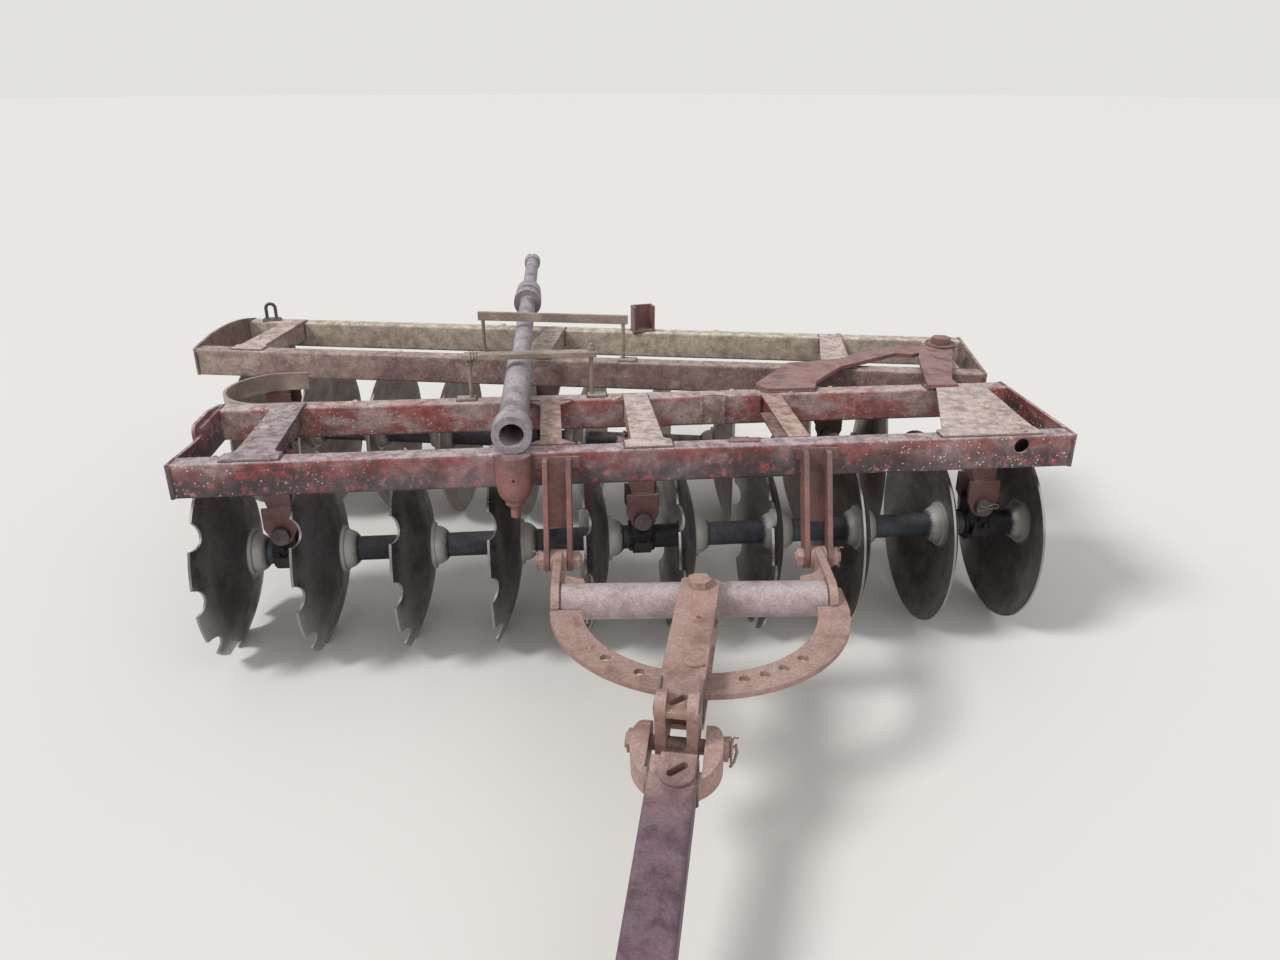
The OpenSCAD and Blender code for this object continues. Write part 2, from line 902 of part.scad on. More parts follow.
// Half-round tapered socket on the front beam's face, under the spindle's ring
module jack_socket() {
    wide_r = 50;
    neck_r = 24;
    stem_r = 14;
    ring = 3;
    // Depths under the beam's top: straight wall, shoulder, ring, stem
    deep = [76, 60, 12, 40];
    ring_z = -deep[0] - deep[1];
    stem_z = ring_z - deep[2];
    color(rust) on_front()
        translate([spindle_u, -front_depth / 2, frame_top])
            intersection() {
                rotate_extrude()
                    polygon(concat(
                        [[0, 0], [wide_r, 0], [wide_r, -deep[0]]],
                        [for (a = [15:15:75]) [
                            neck_r + (wide_r - neck_r) * cos(a),
                            -deep[0] - deep[1] * sin(a)
                        ]],
                        [[neck_r, ring_z], [neck_r + ring, ring_z - 1],
                         [neck_r + ring, stem_z], [stem_r, stem_z - 1],
                         [stem_r, stem_z - deep[3]], [0, stem_z - deep[3]]]
                    ));
                translate([-2 * wide_r, -2 * wide_r, -frame_top])
                    cube([4 * wide_r, 2 * wide_r, frame_top]);
            }
}

hinge_z = frame_top + 18;
hinge_t = 14;
hinge_eye_d = 104;
hinge_eye_up = 6;
hinge_pin_d = 40;
// The seat under the eye stays this far below it
hinge_play = 1;

// Outlines of the hinge bracket's two plates: back from the pivot along the beam, and the
// share of the way from the second beam's rear edge to the pivot
long_plate = [
    [752, 0.03], [725, -0.14], [566, -0.14], [548, 0.04], [429, 0.42], [194, 0.77],
    [138, 0.72], [40, 0.86], [0, 0.94], [0, 1.06], [84, 0.96], [163, 0.97], [278, 0.91],
    [318, 0.85], [408, 0.64], [601, 0.57]
];
short_plate = [[196, -0.17], [94, -0.17], [92, 0], [-24, 0.84], [20, 1], [90, 0.9], [130, 0.61]];

// The part of an outline that lies on the beam (side -1) or slopes up to the eye (side 1)
module bracket_outline(outline, side) {
    run = pivot_d - front_depth / 2;
    intersection() {
        polygon([for (p = outline) [pivot_u - p[0], p[1] * run]]);
        translate([0, side > 0 ? -past : -run])
            square([front_len, side > 0 ? 2 * run : run]);
    }
}

module hinge_bracket() {
    slope = atan2(hinge_z - frame_top, pivot_d - hinge_eye_d / 2 - front_depth / 2);
    color(rust) on_front()
        difference() {
            union() {
                for (outline = [long_plate, short_plate])
                    translate([0, front_depth / 2, frame_top]) {
                        linear_extrude(hinge_t)
                            bracket_outline(outline, -1);
                        rotate([slope, 0, 0])
                            linear_extrude(hinge_t)
                                bracket_outline(outline, 1);
                    }
                translate([pivot_u, pivot_d, hinge_z])
                    cylinder(d = hinge_eye_d, h = hinge_t + hinge_eye_up);
            }
            translate([pivot_u, pivot_d, frame_top])
                cylinder(d = hinge_pin_d + 2 * pin_fit, h = beam_h);
        }
}

module hinge_seat() {
    color(clay) on_rear()
        translate([pivot_rear_u, 0, 0])
            difference() {
                union() {
                    hanger_rail(rear_in);
                    translate([0, 0, rail_z])
                        cylinder(d = rail_w - 4, h = hinge_z - rail_z - hinge_play);
                }
                translate([0, 0, rail_z - past])
                    cylinder(d = hinge_pin_d, h = beam_h);
            }
}

module hinge_pin() {
    top = hinge_z + hinge_t + hinge_eye_up + hinge_play;
    nut_t = 22;
    below = 10;
    color(worn_steel) on_rear()
        translate([pivot_rear_u, 0, 0]) {
            translate([0, 0, rail_z - below])
                cylinder(d = hinge_pin_d, h = top + below + 5 - rail_z);
            translate([0, 0, top])
                cylinder(d = hinge_pin_d + 30, h = nut_t, $fn = 6);
        }
}

// Guide hoops: their legs stand this far to the left and right of the spindle
front_hoop_sides = [141, 238];
rear_hoop_sides = [146, 359];
// Height of the bars' underside above the frame
hoop_clear = 132;
hoop_leg_d = 13;
hoop_foot = [58, 38, 7];
// Width and height of each hoop's bar, and its place in from the beam's edge
front_bar = [40, 16];
rear_bar = [14, 30];
front_hoop_in = 24;
rear_hoop_in = 30;
front_hoop_us = [spindle_u - front_hoop_sides[0], spindle_u + front_hoop_sides[1]];

// Place along the rear frame where the spindle passes over the hoop, to a whole millimetre
function to_rear(p) = turned(turned(p, front_angle) - rear_at, -rear_angle);
rear_hoop_d = rear_hoop_in - rear_depth / 2;
spindle_start = to_rear(spindle_from);
spindle_on = to_rear(spindle_from + turned([0, spindle_len], spindle_yaw));
spindle_over_u = round(spindle_start[0] + (spindle_on[0] - spindle_start[0])
    * (rear_hoop_d - spindle_start[1]) / (spindle_on[1] - spindle_start[1]));
rear_hoop_us = [spindle_over_u - rear_hoop_sides[0], spindle_over_u + rear_hoop_sides[1]];

// Two legs with feet that point outwards, and a flat bar across, its ends past the legs
module hoop(us, at_d, bar_w, bar_h) {
    over = 16;
    for (i = [0, 1])
        translate([us[i], at_d, frame_top]) {
            cylinder(d = hoop_leg_d, h = hoop_clear + 1);
            translate([(2 * i - 1) * (hoop_foot[0] / 2 - hoop_leg_d), 0, 0])
                bar(hoop_foot[0], hoop_foot[1], hoop_foot[2]);
        }
    translate([us[0] - over, at_d - bar_w / 2, frame_top + hoop_clear])
        cube([us[1] - us[0] + 2 * over, bar_w, bar_h]);
}

// The front hoop's right leg is threaded and holds the bar between two nuts
module front_hoop() {
    nut_h = 12;
    at_d = front_depth / 2 - front_hoop_in;
    color(tan_paint) on_front() {
        hoop(front_hoop_us, at_d, front_bar[0], front_bar[1]);
        translate([front_hoop_us[1], at_d, frame_top + hoop_clear + front_bar[1]]) {
            cylinder(d = hoop_leg_d, h = 2 * nut_h);
            cylinder(d = 2 * hoop_leg_d, h = nut_h, $fn = 6);
        }
    }
}

module rear_hoop() {
    color(tan_paint) on_rear()
        hoop(rear_hoop_us, rear_hoop_d, rear_bar[0], rear_bar[1]);
}

// Flat strap on edge bent round in a loop behind the second beam
module strap_loop() {
    strap_h = 60;
    strap_t = 10;
    loop_r = 160;
    out = 60;
    below = 65;
    from = -1130;
    color(rust) on_front()
        translate([from, front_depth / 2 + loop_r + strap_t, frame_top - below]) {
            difference() {
                cylinder(r = loop_r + strap_t, h = strap_h);
                translate([0, 0, -past])
                    cylinder(r = loop_r, h = strap_h + 2 * past);
                translate([0, -2 * loop_r, -past])
                    cube([3 * loop_r, 4 * loop_r, strap_h + 2 * past]);
            }
            translate([-past, -loop_r - strap_t, 0])
                cube([3 * out, strap_t, strap_h]);
            translate([-past, loop_r, 0])
                cube([out, strap_t, strap_h]);
        }
}

// The spindle's own axis, +Z from its front ring towards the rear
module along_spindle() {
    on_front()
        translate([spindle_from[0], spindle_from[1], frame_top + spindle_ring_d / 2])
            rotate([0, 0, spindle_yaw])
                rotate([spindle_rise - 90, 0, 0])
                    children();
}

module spindle_tube() {
    ring_len = 62;
    saddle = [70, 30, 44];
    color(dark_steel) along_spindle()
        difference() {
            union() {
                cylinder(d = spindle_ring_d, h = ring_len);
                cylinder(d = spindle_tube_d, h = spindle_tube_len);
            }
            translate([0, 0, -past])
                cylinder(d = spindle_bore_d, h = spindle_tube_len + 2 * past);
        }
    // Saddle that carries the tube on the second beam
    color(rust) on_front()
        translate([spindle_u, (front_depth - beam_w) / 2, frame_top])
            difference() {
                bar(saddle[0], saddle[1], saddle[2]);
                translate([0, 0, spindle_ring_d / 2 + 12])
                    rod_y(spindle_tube_d - 2, 2 * saddle[1]);
            }
}

// Steps of the inner rod: distance from the front, diameter at its start and end
rod_steps = [[380, spindle_rod_d, spindle_rod_d], [655, 62, 62], [1300, 58, 58], [1318, 60, 60],
    [1400, 109, 109], [1428, 98, 98], [1436, 109, 109], [1455, 66, 66], [1500, 104, 100],
    [1590, 78, 66], [1640, 56, 56], [spindle_len - 60, 70, 74]];
claw_slot = [12, 18];

module spindle_rod() {
    color(worn_steel) along_spindle()
        difference() {
            for (i = [0:len(rod_steps) - 1])
                let (row = rod_steps[i],
                    to = i + 1 < len(rod_steps) ? rod_steps[i + 1][0] : spindle_len)
                    translate([0, 0, row[0]])
                        cylinder(d1 = row[1], d2 = row[2], h = to - row[0]);
            // Claw at the tip
            for (a = [0, 90])
                translate([0, 0, spindle_len - claw_slot[1]])
                    rotate([0, 0, a])
                        bar(2 * spindle_tube_d, claw_slot[0], claw_slot[1] + past);
            translate([0, 0, spindle_len - claw_slot[1]])
                cylinder(d = spindle_rod_d / 2, h = claw_slot[1] + past);
        }
}

// Place of the post bracket along the rear frame, and its turn towards the hitch
post_u = 200;
post_turn = 24;

module post_bracket() {
    post_w = 84;
    post_d = 50;
    post_h = 100;
    wall = 8;
    color(rust) on_rear()
        translate([post_u, (rear_depth - beam_w) / 2, frame_top])
            rotate([0, 0, post_turn])
                difference() {
                    bar(post_w, post_d, post_h);
                    translate([0, -wall, wall])
                        bar(post_w - 2 * wall, post_d, post_h);
                }
}

// Upright shackle on the rear frame's left end
module tow_hook() {
    rod = 13;
    bend_r = 18;
    leg = 44;
    in_from_end = 94;
    turn = 20;
    base = [66, 34, 8];
    color(dark_steel) on_rear()
        translate([in_from_end - rear_len / 2, (rear_depth - beam_w) / 2, frame_top])
            rotate([0, 0, turn]) {
                bar(base[0], base[1], base[2]);
                for (x = [-1, 1])
                    translate([x * bend_r, 0, 6])
                        cylinder(d = rod, h = leg);
                translate([0, 0, leg + 6])
                    rotate([90, 0, 0])
                        rotate_extrude(angle = 180, $fn = 64)
                            translate([bend_r, 0])
                                circle(d = rod, $fn = 24);
            }
}

// Tube across the hitch, with the sleeve for the head's pin on its front
module hitch_tube() {
    sleeve = [pivot_side, -pivot_lead, 0];
    sleeve_d = head_pin_d + 34;
    color(rust) on_hitch()
        translate([0, -tube_reach, -tube_drop])
            difference() {
                union() {
                    rod_x(tube_d, ear_spacing - cheek_t);
                    translate(sleeve)
                        cylinder(d = sleeve_d, h = tube_d + 2, center = true);
                }
                translate(sleeve)
                    cylinder(d = head_pin_d + 2 * pin_fit, h = 2 * tube_d, center = true);
            }
}

// Radius of a cheek's front end round the tube, which the quadrant's ends meet
cheek_nose_r = tube_d / 2 + 6;

// Cheeks that close the tube and reach back between the ears, with a foot on the tube
module hitch_cheeks() {
    eye_r = 31;
    foot = [[0, 104], [0, 22], [68, 22], [62, 50], [26, 62], [12, 78]];
    foot_t = 18;
    foot_up = 22;
    color(rust) on_hitch()
        difference() {
            for (side = [-1, 1])
                translate([side * ear_spacing / 2, 0, 0]) {
                    translate([-cheek_t / 2, 0, 0])
                        rotate([90, 0, 90])
                            linear_extrude(cheek_t) {
                                link([0, 0], eye_r, [-tube_reach, -tube_drop], cheek_nose_r);
                                translate([-tube_reach - cheek_nose_r, -tube_drop - quadrant_t])
                                    square([cheek_nose_r, 2 * quadrant_t]);
                            }
                    rod_x(2 * eye_r, ear_gap - 4);
                    translate([-side * (cheek_t / 2 - past), -tube_reach, -tube_drop + foot_up])
                        scale([-side, 1, 1])
                            linear_extrude(foot_t)
                                polygon(foot);
                }
            rod_x(ear_pin_d + 2 * pin_fit, 2 * ear_spacing);
            translate([0, -tube_reach, -tube_drop])
                rod_x(tube_d + 2 * seat_gap, ear_spacing - cheek_t);
        }
}

// Locking holes round the head's pivot, off the hitch's centre line
quadrant_hole_angles = [-46, -29, 13, 22, 31, 42];
quadrant_hole_in = 50;
quadrant_hole_r = quadrant_r - quadrant_hole_in;

module quadrant() {
    // The plate ends against the cheeks' flat noses; a horn runs on past the right one
    ends_d = pivot_lead - cheek_nose_r;
    horn_from = ear_spacing / 2 + cheek_t / 2 - pivot_side;
    color(rust) on_hitch()
        translate([pivot_side, -tube_reach - pivot_lead, -tube_drop - quadrant_t / 2])
            linear_extrude(quadrant_t)
                difference() {
                    union() {
                        difference() {
                            circle(r = quadrant_r, $fn = 128);
                            translate([-quadrant_r - past, ends_d])
                                square([2 * quadrant_r + 2 * past, quadrant_r + tube_d]);
                        }
                        translate([horn_from, ends_d - past])
                            square([quadrant_r - horn_from, tube_d]);
                    }
                    circle(r = quadrant_r - quadrant_w, $fn = 128);
                    for (a = quadrant_hole_angles)
                        rotate(a)
                            translate([0, -quadrant_hole_r])
                                circle(d = quadrant_hole_d);
                }
}

head_plate_z = tube_d / 2 + side_gap;
// Outer faces and thickness of the head's two ears, and the radii of their round ends
head_ear_out = 46;
head_ear_t = 24;
head_ear_top_r = 34;
head_ear_low_r = 35;
// The ears' tops stand in front of the knuckle and over the upper plate's underside
head_ear_top = [28, 8];
// Ends of the head's plates, in front of the pivot and behind it
head_rear = 36;
top_plate_end = knuckle_reach + 60;
low_plate_end = knuckle_reach - 60;
// Slanted slot in the upper plate: in front of the knuckle, length, width, angle
head_slot = [12, 52, 18, 44];
grease_hole_d = 13;
grease_hole_at = [13, -156];

// Oblong hole between two round ends, at an angle
module slot_outline(length, width, angle) {
    rotate(angle)
        link([-(length - width) / 2, 0], width / 2, [(length - width) / 2, 0], width / 2);
}

module head_plate(end) {
    translate([0, (head_rear - end) / 2, 0])
        linear_extrude(head_t)
            round_rect(head_w, end + head_rear, 14);
}

// Plates over and under the hitch tube, joined by two ears that hold the knuckle pin
module head_plates() {
    drop = tube_z - knuckle_z;
    ear_top = [-knuckle_reach - head_ear_top[0], head_plate_z + head_ear_top[1]];
    ear_low = [-knuckle_reach, -drop];
    ear_from = knuckle_reach - quadrant_r - 14;
    color(rust) on_head()
        difference() {
            union() {
                translate([0, 0, head_plate_z])
                    head_plate(top_plate_end);
                translate([0, 0, -head_plate_z - head_t])
                    head_plate(low_plate_end);
                for (side = [-1, 1])
                    translate([side * (head_ear_out - head_ear_t / 2) - head_ear_t / 2, 0, 0])
                        rotate([90, 0, 90])
                            linear_extrude(head_ear_t) {
                                link(ear_top, head_ear_top_r, ear_low, head_ear_low_r);
                                translate([-knuckle_reach, -head_plate_z - head_t / 2])
                                    square([ear_from, 2 * head_plate_z + head_t]);
                            }
            }
            cylinder(d = head_pin_d, h = 4 * tube_d, center = true);
            translate([0, -knuckle_reach, -drop])
                rod_x(knuckle_pin_d + 2 * pin_fit, 2 * head_w);
            // Slanted slot and grease hole in the upper plate
            translate([0, -knuckle_reach - head_slot[0], 0])
                linear_extrude(tube_d)
                    slot_outline(head_slot[1], head_slot[2], head_slot[3]);
            translate([grease_hole_at[0], grease_hole_at[1], 0])
                cylinder(d = grease_hole_d, h = tube_d);
        }
}

module head_pin() {
    length = 2 * head_plate_z + 2 * head_t;
    out = 12;
    nut_t = 20;
    color(worn_steel) on_head() {
        cylinder(d = head_pin_d, h = length + 2 * out, center = true);
        translate([0, 0, length / 2])
            cylinder(d = head_pin_d + 26, h = nut_t, $fn = 6);
    }
}

// Rear end of the drawbar, in front of the knuckle pin
drawbar_back = 62;
drawbar_round = 12;
// Length of the hitch eye's shank behind its ring
eye_shank = 20;

// Box drawbar with round edges and a round-ended tongue on its rear end
module drawbar_beam() {
    // The tongue's middle across the beam, half its width, thickness, straight part
    tongue = [10, 38, 10, 46];
    // Its slot in front of the beam's end, length, width, angle, depth
    slot = [42, 50, 17, 40, 14];
    length = drawbar_len - drawbar_back - eye_d / 2 - eye_shank;
    color(dark_steel) on_drawbar()
        difference() {
            union() {
                translate([0, -drawbar_back, 0])
                    rotate([90, 0, 0])
                        linear_extrude(length)
                            round_rect(drawbar_w, drawbar_h, drawbar_round);
                translate([tongue[0], -drawbar_back, drawbar_h / 2 - past])
                    linear_extrude(tongue[2] + past) {
                        translate([-tongue[1], -tongue[3]])
                            square([2 * tongue[1], tongue[3]]);
                        translate([0, -tongue[3]])
                            circle(r = tongue[1]);
                    }
            }
            translate([tongue[0], -drawbar_back - slot[0], drawbar_h / 2 - slot[4]])
                linear_extrude(drawbar_h)
                    slot_outline(slot[1], slot[2], slot[3]);
        }
}

// Cast cheeks, round outside, on the drawbar's sides: they hold the knuckle pin
cheek_bulge_r = 100;
cheek_bulge_d = -30;
cheek_slot = 8;
cheek_face = 92;

module knuckle_cheek() {
    cheek_in = drawbar_w / 2;
    eye_r = 46;
    // Side outline in front of the pin
    arm = [[0, 44], [-130, 26], [-130, -34], [0, -44]];
    slot_end = drawbar_w / 2 + 40;
    difference() {
        intersection() {
            translate([cheek_in, 0, 0])
                rotate([90, 0, 90])
                    linear_extrude(cheek_bulge_r) {
                        circle(r = eye_r);
                        polygon(arm);
                    }
            translate([0, cheek_bulge_d, 0])
                cylinder(r = cheek_bulge_r, h = 2 * drawbar_h, center = true, $fn = 96);
        }
        // Open slot beside the drawbar, up to the foot that is welded to it
        translate([cheek_in - past, -slot_end, -drawbar_h])
            cube([cheek_slot + past, 2 * drawbar_w, 2 * drawbar_h]);
        rod_x(knuckle_pin_d, 4 * cheek_bulge_r);
        translate([cheek_face, 0, 0])
            rotate([0, 90, 0])
                cylinder(d = knuckle_pin_d + 28, h = cheek_bulge_r);
    }
}

module knuckle_cheeks() {
    color(dark_steel) on_drawbar()
        for (side = [-1, 1])
            scale([side, 1, 1])
                knuckle_cheek();
}

module knuckle_pin() {
    nut_t = 18;
    out = 5;
    color(worn_steel) on_drawbar() {
        rod_x(knuckle_pin_d, 2 * (cheek_face + nut_t + out));
        for (side = [-1, 1])
            translate([side * (cheek_face + nut_t / 2), 0, 0])
                rotate([0, 90, 0])
                    cylinder(d = knuckle_pin_d + 20, h = nut_t, center = true, $fn = 6);
    }
}

module hitch_eye() {
    shank_w = drawbar_w - 28;
    color(dark_steel) on_drawbar()
        translate([0, -drawbar_len, 0])
            difference() {
                union() {
                    cylinder(d = eye_d, h = eye_t, center = true);
                    translate([-shank_w / 2, 0, -eye_t / 2])
                        cube([shank_w, eye_d / 2 + eye_shank, eye_t]);
                }
                cylinder(d = eye_bore_d, h = 2 * eye_t, center = true);
            }
}

front_beam();
second_beam();
front_end_plates();
front_rails();
front_channels();
front_hangers();
front_hanger_pins();
front_bearings();
ear_brackets();
ear_pins();
jack_socket();
hinge_bracket();
front_hoop();
strap_loop();
spindle_tube();
spindle_rod();
rear_front_beam();
rear_back_beam();
rear_end_plates();
rear_rails();
hinge_seat();
hinge_pin();
rear_hangers();
rear_hanger_pins();
rear_bearings();
rear_hoop();
post_bracket();
tow_hook();
front_shaft();
notched_discs();
front_plain_discs();
front_spools();
rear_shaft();
rear_discs();
rear_spools();
hitch_tube();
hitch_cheeks();
quadrant();
head_plates();
head_pin();
drawbar_beam();
knuckle_cheeks();
knuckle_pin();
hitch_eye();
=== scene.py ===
"""Looks, fastenings and light for the trailed offset disc harrow."""

import json
import math
import random
from itertools import product

import bmesh
import bpy
from mathutils import Matrix, Vector


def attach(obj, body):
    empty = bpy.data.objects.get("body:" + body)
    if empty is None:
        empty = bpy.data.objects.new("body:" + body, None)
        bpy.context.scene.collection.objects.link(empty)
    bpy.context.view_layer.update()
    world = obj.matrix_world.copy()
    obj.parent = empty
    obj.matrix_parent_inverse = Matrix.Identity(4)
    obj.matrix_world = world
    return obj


bl_info = {
    "name": "Offset disc harrow",
    "version": (1, 0, 0),
    "blender": (4, 5, 0),
    "location": "View3D > Sidebar > Harrow",
    "description": "Dresses the packed disc harrow with its finishes, fastenings and weld beads",
    "category": "Object",
}

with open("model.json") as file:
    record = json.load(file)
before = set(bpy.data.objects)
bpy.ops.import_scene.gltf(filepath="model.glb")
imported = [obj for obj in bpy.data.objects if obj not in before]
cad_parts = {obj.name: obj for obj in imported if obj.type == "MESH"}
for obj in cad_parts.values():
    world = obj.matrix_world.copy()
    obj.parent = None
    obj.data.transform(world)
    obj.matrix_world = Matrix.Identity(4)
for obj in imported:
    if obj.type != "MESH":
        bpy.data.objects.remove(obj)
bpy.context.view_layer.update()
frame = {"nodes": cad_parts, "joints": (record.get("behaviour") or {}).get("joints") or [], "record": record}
NODES = frame["nodes"]
JOINTS = {j["name"]: j for j in frame["joints"]}

MM = 0.001
# How far along its axis each gang sits from the middle of its frame
FRONT_GANG_SHIFT = 60 * MM
REAR_GANG_SHIFT = -178 * MM


# Places

def placed(origin, turn, tip=0.0):
    """Matrix of a body's own axes: turned about Z, then tipped about its X."""
    return (Matrix.Translation(origin) @ Matrix.Rotation(turn, 4, "Z")
            @ Matrix.Rotation(tip, 4, "X"))


def gang_frame(joint, shift):
    """Axes of a frame, from the gang that turns under its middle."""
    axis = Vector(JOINTS[joint]["axis"])
    middle = Vector(JOINTS[joint]["pos_m"]) - axis * shift
    return placed((middle.x, middle.y, 0.0), math.atan2(axis.y, axis.x))


def body_axes():
    """Axes of every body that carries new pieces."""
    tilt, swing, pitch = (JOINTS[n] for n in ("hitch_tilt", "drawbar_swing", "drawbar_pitch"))
    turn = math.atan2(-tilt["axis"][1], -tilt["axis"][0])
    head_turn = math.atan2(-pitch["axis"][1], -pitch["axis"][0])
    knuckle = Vector(pitch["pos_m"])
    eye = Vector(frame["record"]["mounts"][0]["pos_m"])
    slope = math.asin((knuckle.z - eye.z) / (knuckle - eye).length)
    return {"front_frame": gang_frame("front_gang_spin", FRONT_GANG_SHIFT),
            "rear_frame": gang_frame("rear_gang_spin", REAR_GANG_SHIFT),
            "hitch_frame": placed(tilt["pos_m"], turn),
            "drawbar_head": placed(swing["pos_m"], head_turn),
            "drawbar": placed(knuckle, head_turn, slope)}


AXES = body_axes()


# Colours

def shade(red, green, blue):
    """Linear colour from the usual 0 to 255 values."""
    def linear(c):
        c /= 255.0
        return c / 12.92 if c <= 0.04045 else ((c + 0.055) / 1.055) ** 2.4
    return (linear(red), linear(green), linear(blue), 1.0)


def colour_prop(name, description, default):
    return bpy.props.FloatVectorProperty(
        name=name, description=description, default=default[:3], subtype="COLOR",
        min=0.0, max=1.0, size=3)


def length_prop(name, description, default_mm, low, high):
    return bpy.props.FloatProperty(
        name=name, description=description, default=default_mm * MM, min=low * MM,
        max=high * MM, subtype="DISTANCE", unit="LENGTH")


class HarrowFinish(bpy.types.PropertyGroup):
    """Main colours of the harrow's finishes."""
    red: colour_prop("Red paint", "Old brick red of the front frame", shade(134, 60, 62))
    red_faded: colour_prop("Faded red", "Chalky red where sun and rain took the paint",
                           shade(142, 110, 108))
    mauve: colour_prop("Mauve paint", "Brown mauve of the rear frame", shade(128, 102, 98))
    tan: colour_prop("Tan paint", "Dusty tan of the rearmost beam", shade(166, 151, 137))
    clay: colour_prop("Dry clay", "Pale clay that dried on the cross members",
                      shade(186, 168, 158))
    rust: colour_prop("Even rust", "Dry pinkish rust of the hitch", shade(162, 130, 122))
    purple: colour_prop("Drawbar rust", "Purple brown skin of the drawbar", shade(106, 80, 92))
    grease: colour_prop("Grease", "Black grease on the bearings", shade(36, 34, 35))
    steel: colour_prop("Scoured steel", "Steel that the soil rubbed bright",
                       shade(176, 174, 172))


class HarrowFastenings(bpy.types.PropertyGroup):
    """Sizes of the small fastenings."""
    bead: length_prop("Weld bead", "Radius of a weld bead", 5, 3, 8)
    clip_wire: length_prop("Clip wire", "Radius of the spring clips' wire", 2.5, 1.5, 4)
    across: length_prop("Small nut", "Width across the flats of the small nuts", 19, 13, 24)
    clods: bpy.props.IntProperty(
        name="Clods", description="Clods of dry clay on the frames", default=170, min=0, max=600)


def finish():
    return bpy.context.scene.harrow_finish


def fastenings():
    return bpy.context.scene.harrow_fastenings


# Shader groups

class Net:
    """A node tree with short calls for the nodes that the finishes use."""

    def __init__(self, tree):
        self.tree = tree

    def feed(self, socket, value):
        if isinstance(value, bpy.types.NodeSocket):
            self.tree.links.new(value, socket)
        else:
            socket.default_value = value

    def fill(self, sockets, values):
        for key, value in values.items():
            self.feed(sockets[key], value)

    def node(self, kind, inputs=None, **settings):
        """Adds a node, feeds its inputs and gives its outputs."""
        made = self.tree.nodes.new("ShaderNode" + kind)
        for key, value in settings.items():
            setattr(made, key, value)
        self.fill(made.inputs, inputs or {})
        return made.outputs

    def place(self):
        return self.node("TexCoord")["Object"]

    def normal_z(self):
        return self.split(self.node("NewGeometry")["Normal"])["Z"]

    def mapped(self, vector, at=(0, 0, 0), scale=(1, 1, 1)):
        return self.node("Mapping", {"Vector": vector, "Location": at, "Scale": scale})["Vector"]

    def noise(self, vector, scale, detail, rough, warp=0.0):
        return self.node("TexNoise", {"Vector": vector, "Scale": scale, "Detail": detail,
                                      "Roughness": rough, "Distortion": warp})["Fac"]

    def cells(self, vector, scale):
        return self.node("TexVoronoi", {"Vector": vector, "Scale": scale})["Distance"]

    def step(self, value, low, high, to_low=0.0, to_high=1.0):
        return self.node("MapRange", {"Value": value, "From Min": low, "From Max": high,
                                      "To Min": to_low, "To Max": to_high},
                         interpolation_type="SMOOTHSTEP")["Result"]

    def math(self, operation, a, b=0.0, clamp=False):
        return self.node("Math", {0: a, 1: b}, operation=operation, use_clamp=clamp)[0]

    def add(self, a, b):
        return self.math("ADD", a, b)

    def plus(self, a, b):
        """Sum held between 0 and 1."""
        return self.math("ADD", a, b, clamp=True)

    def minus(self, a, b, clamp=False):
        return self.math("SUBTRACT", a, b, clamp)

    def times(self, *values):
        total = values[0]
        for value in values[1:]:
            total = self.math("MULTIPLY", total, value)
        return total

    def mix(self, amount, a, b, blend="MIX"):
        return self.node("Mix", {0: amount, 6: a, 7: b}, data_type="RGBA", blend_type=blend)[2]

    def split(self, vector):
        return self.node("SeparateXYZ", {0: vector})


NOISE_MIDDLE = 0.5
CHALK = (0.62, 0.58, 0.54, 1.0)
PIT_BLACK = (0.03, 0.024, 0.023, 1.0)


def new_group(name, inputs, outputs):
    """Node group. inputs gives each socket's default, and outputs each socket's kind."""
    tree = bpy.data.node_groups.new(name, "ShaderNodeTree")
    for label, default in inputs.items():
        size = len(default) if isinstance(default, tuple) else 1
        kind = {1: "Float", 3: "Vector", 4: "Color"}[size]
        socket = tree.interface.new_socket(name=label, in_out="INPUT",
                                           socket_type="NodeSocket" + kind)
        socket.default_value = default
    for label, kind in outputs.items():
        tree.interface.new_socket(name=label, in_out="OUTPUT", socket_type="NodeSocket" + kind)
    return (Net(tree), tree.nodes.new("NodeGroupInput").outputs,
            tree.nodes.new("NodeGroupOutput").inputs)


def edge_group():
    """A solid's sharp edges: a mask for edge wear and a painted highlight, and a softened normal."""
    net, given, out = new_group("worn_and_highlit_edges", {"Radius": 0.006},
                                {"Mask": "Float", "Normal": "Vector"})
    soft = net.node("Bevel", {"Radius": given["Radius"]}, samples=4)["Normal"]
    flat = net.node("NewGeometry")["Normal"]
    alike = net.node("VectorMath", {0: soft, 1: flat}, operation="DOT_PRODUCT")["Value"]
    net.fill(out, {"Mask": net.step(alike, 0.995, 0.80), "Normal": soft})
    return net.tree


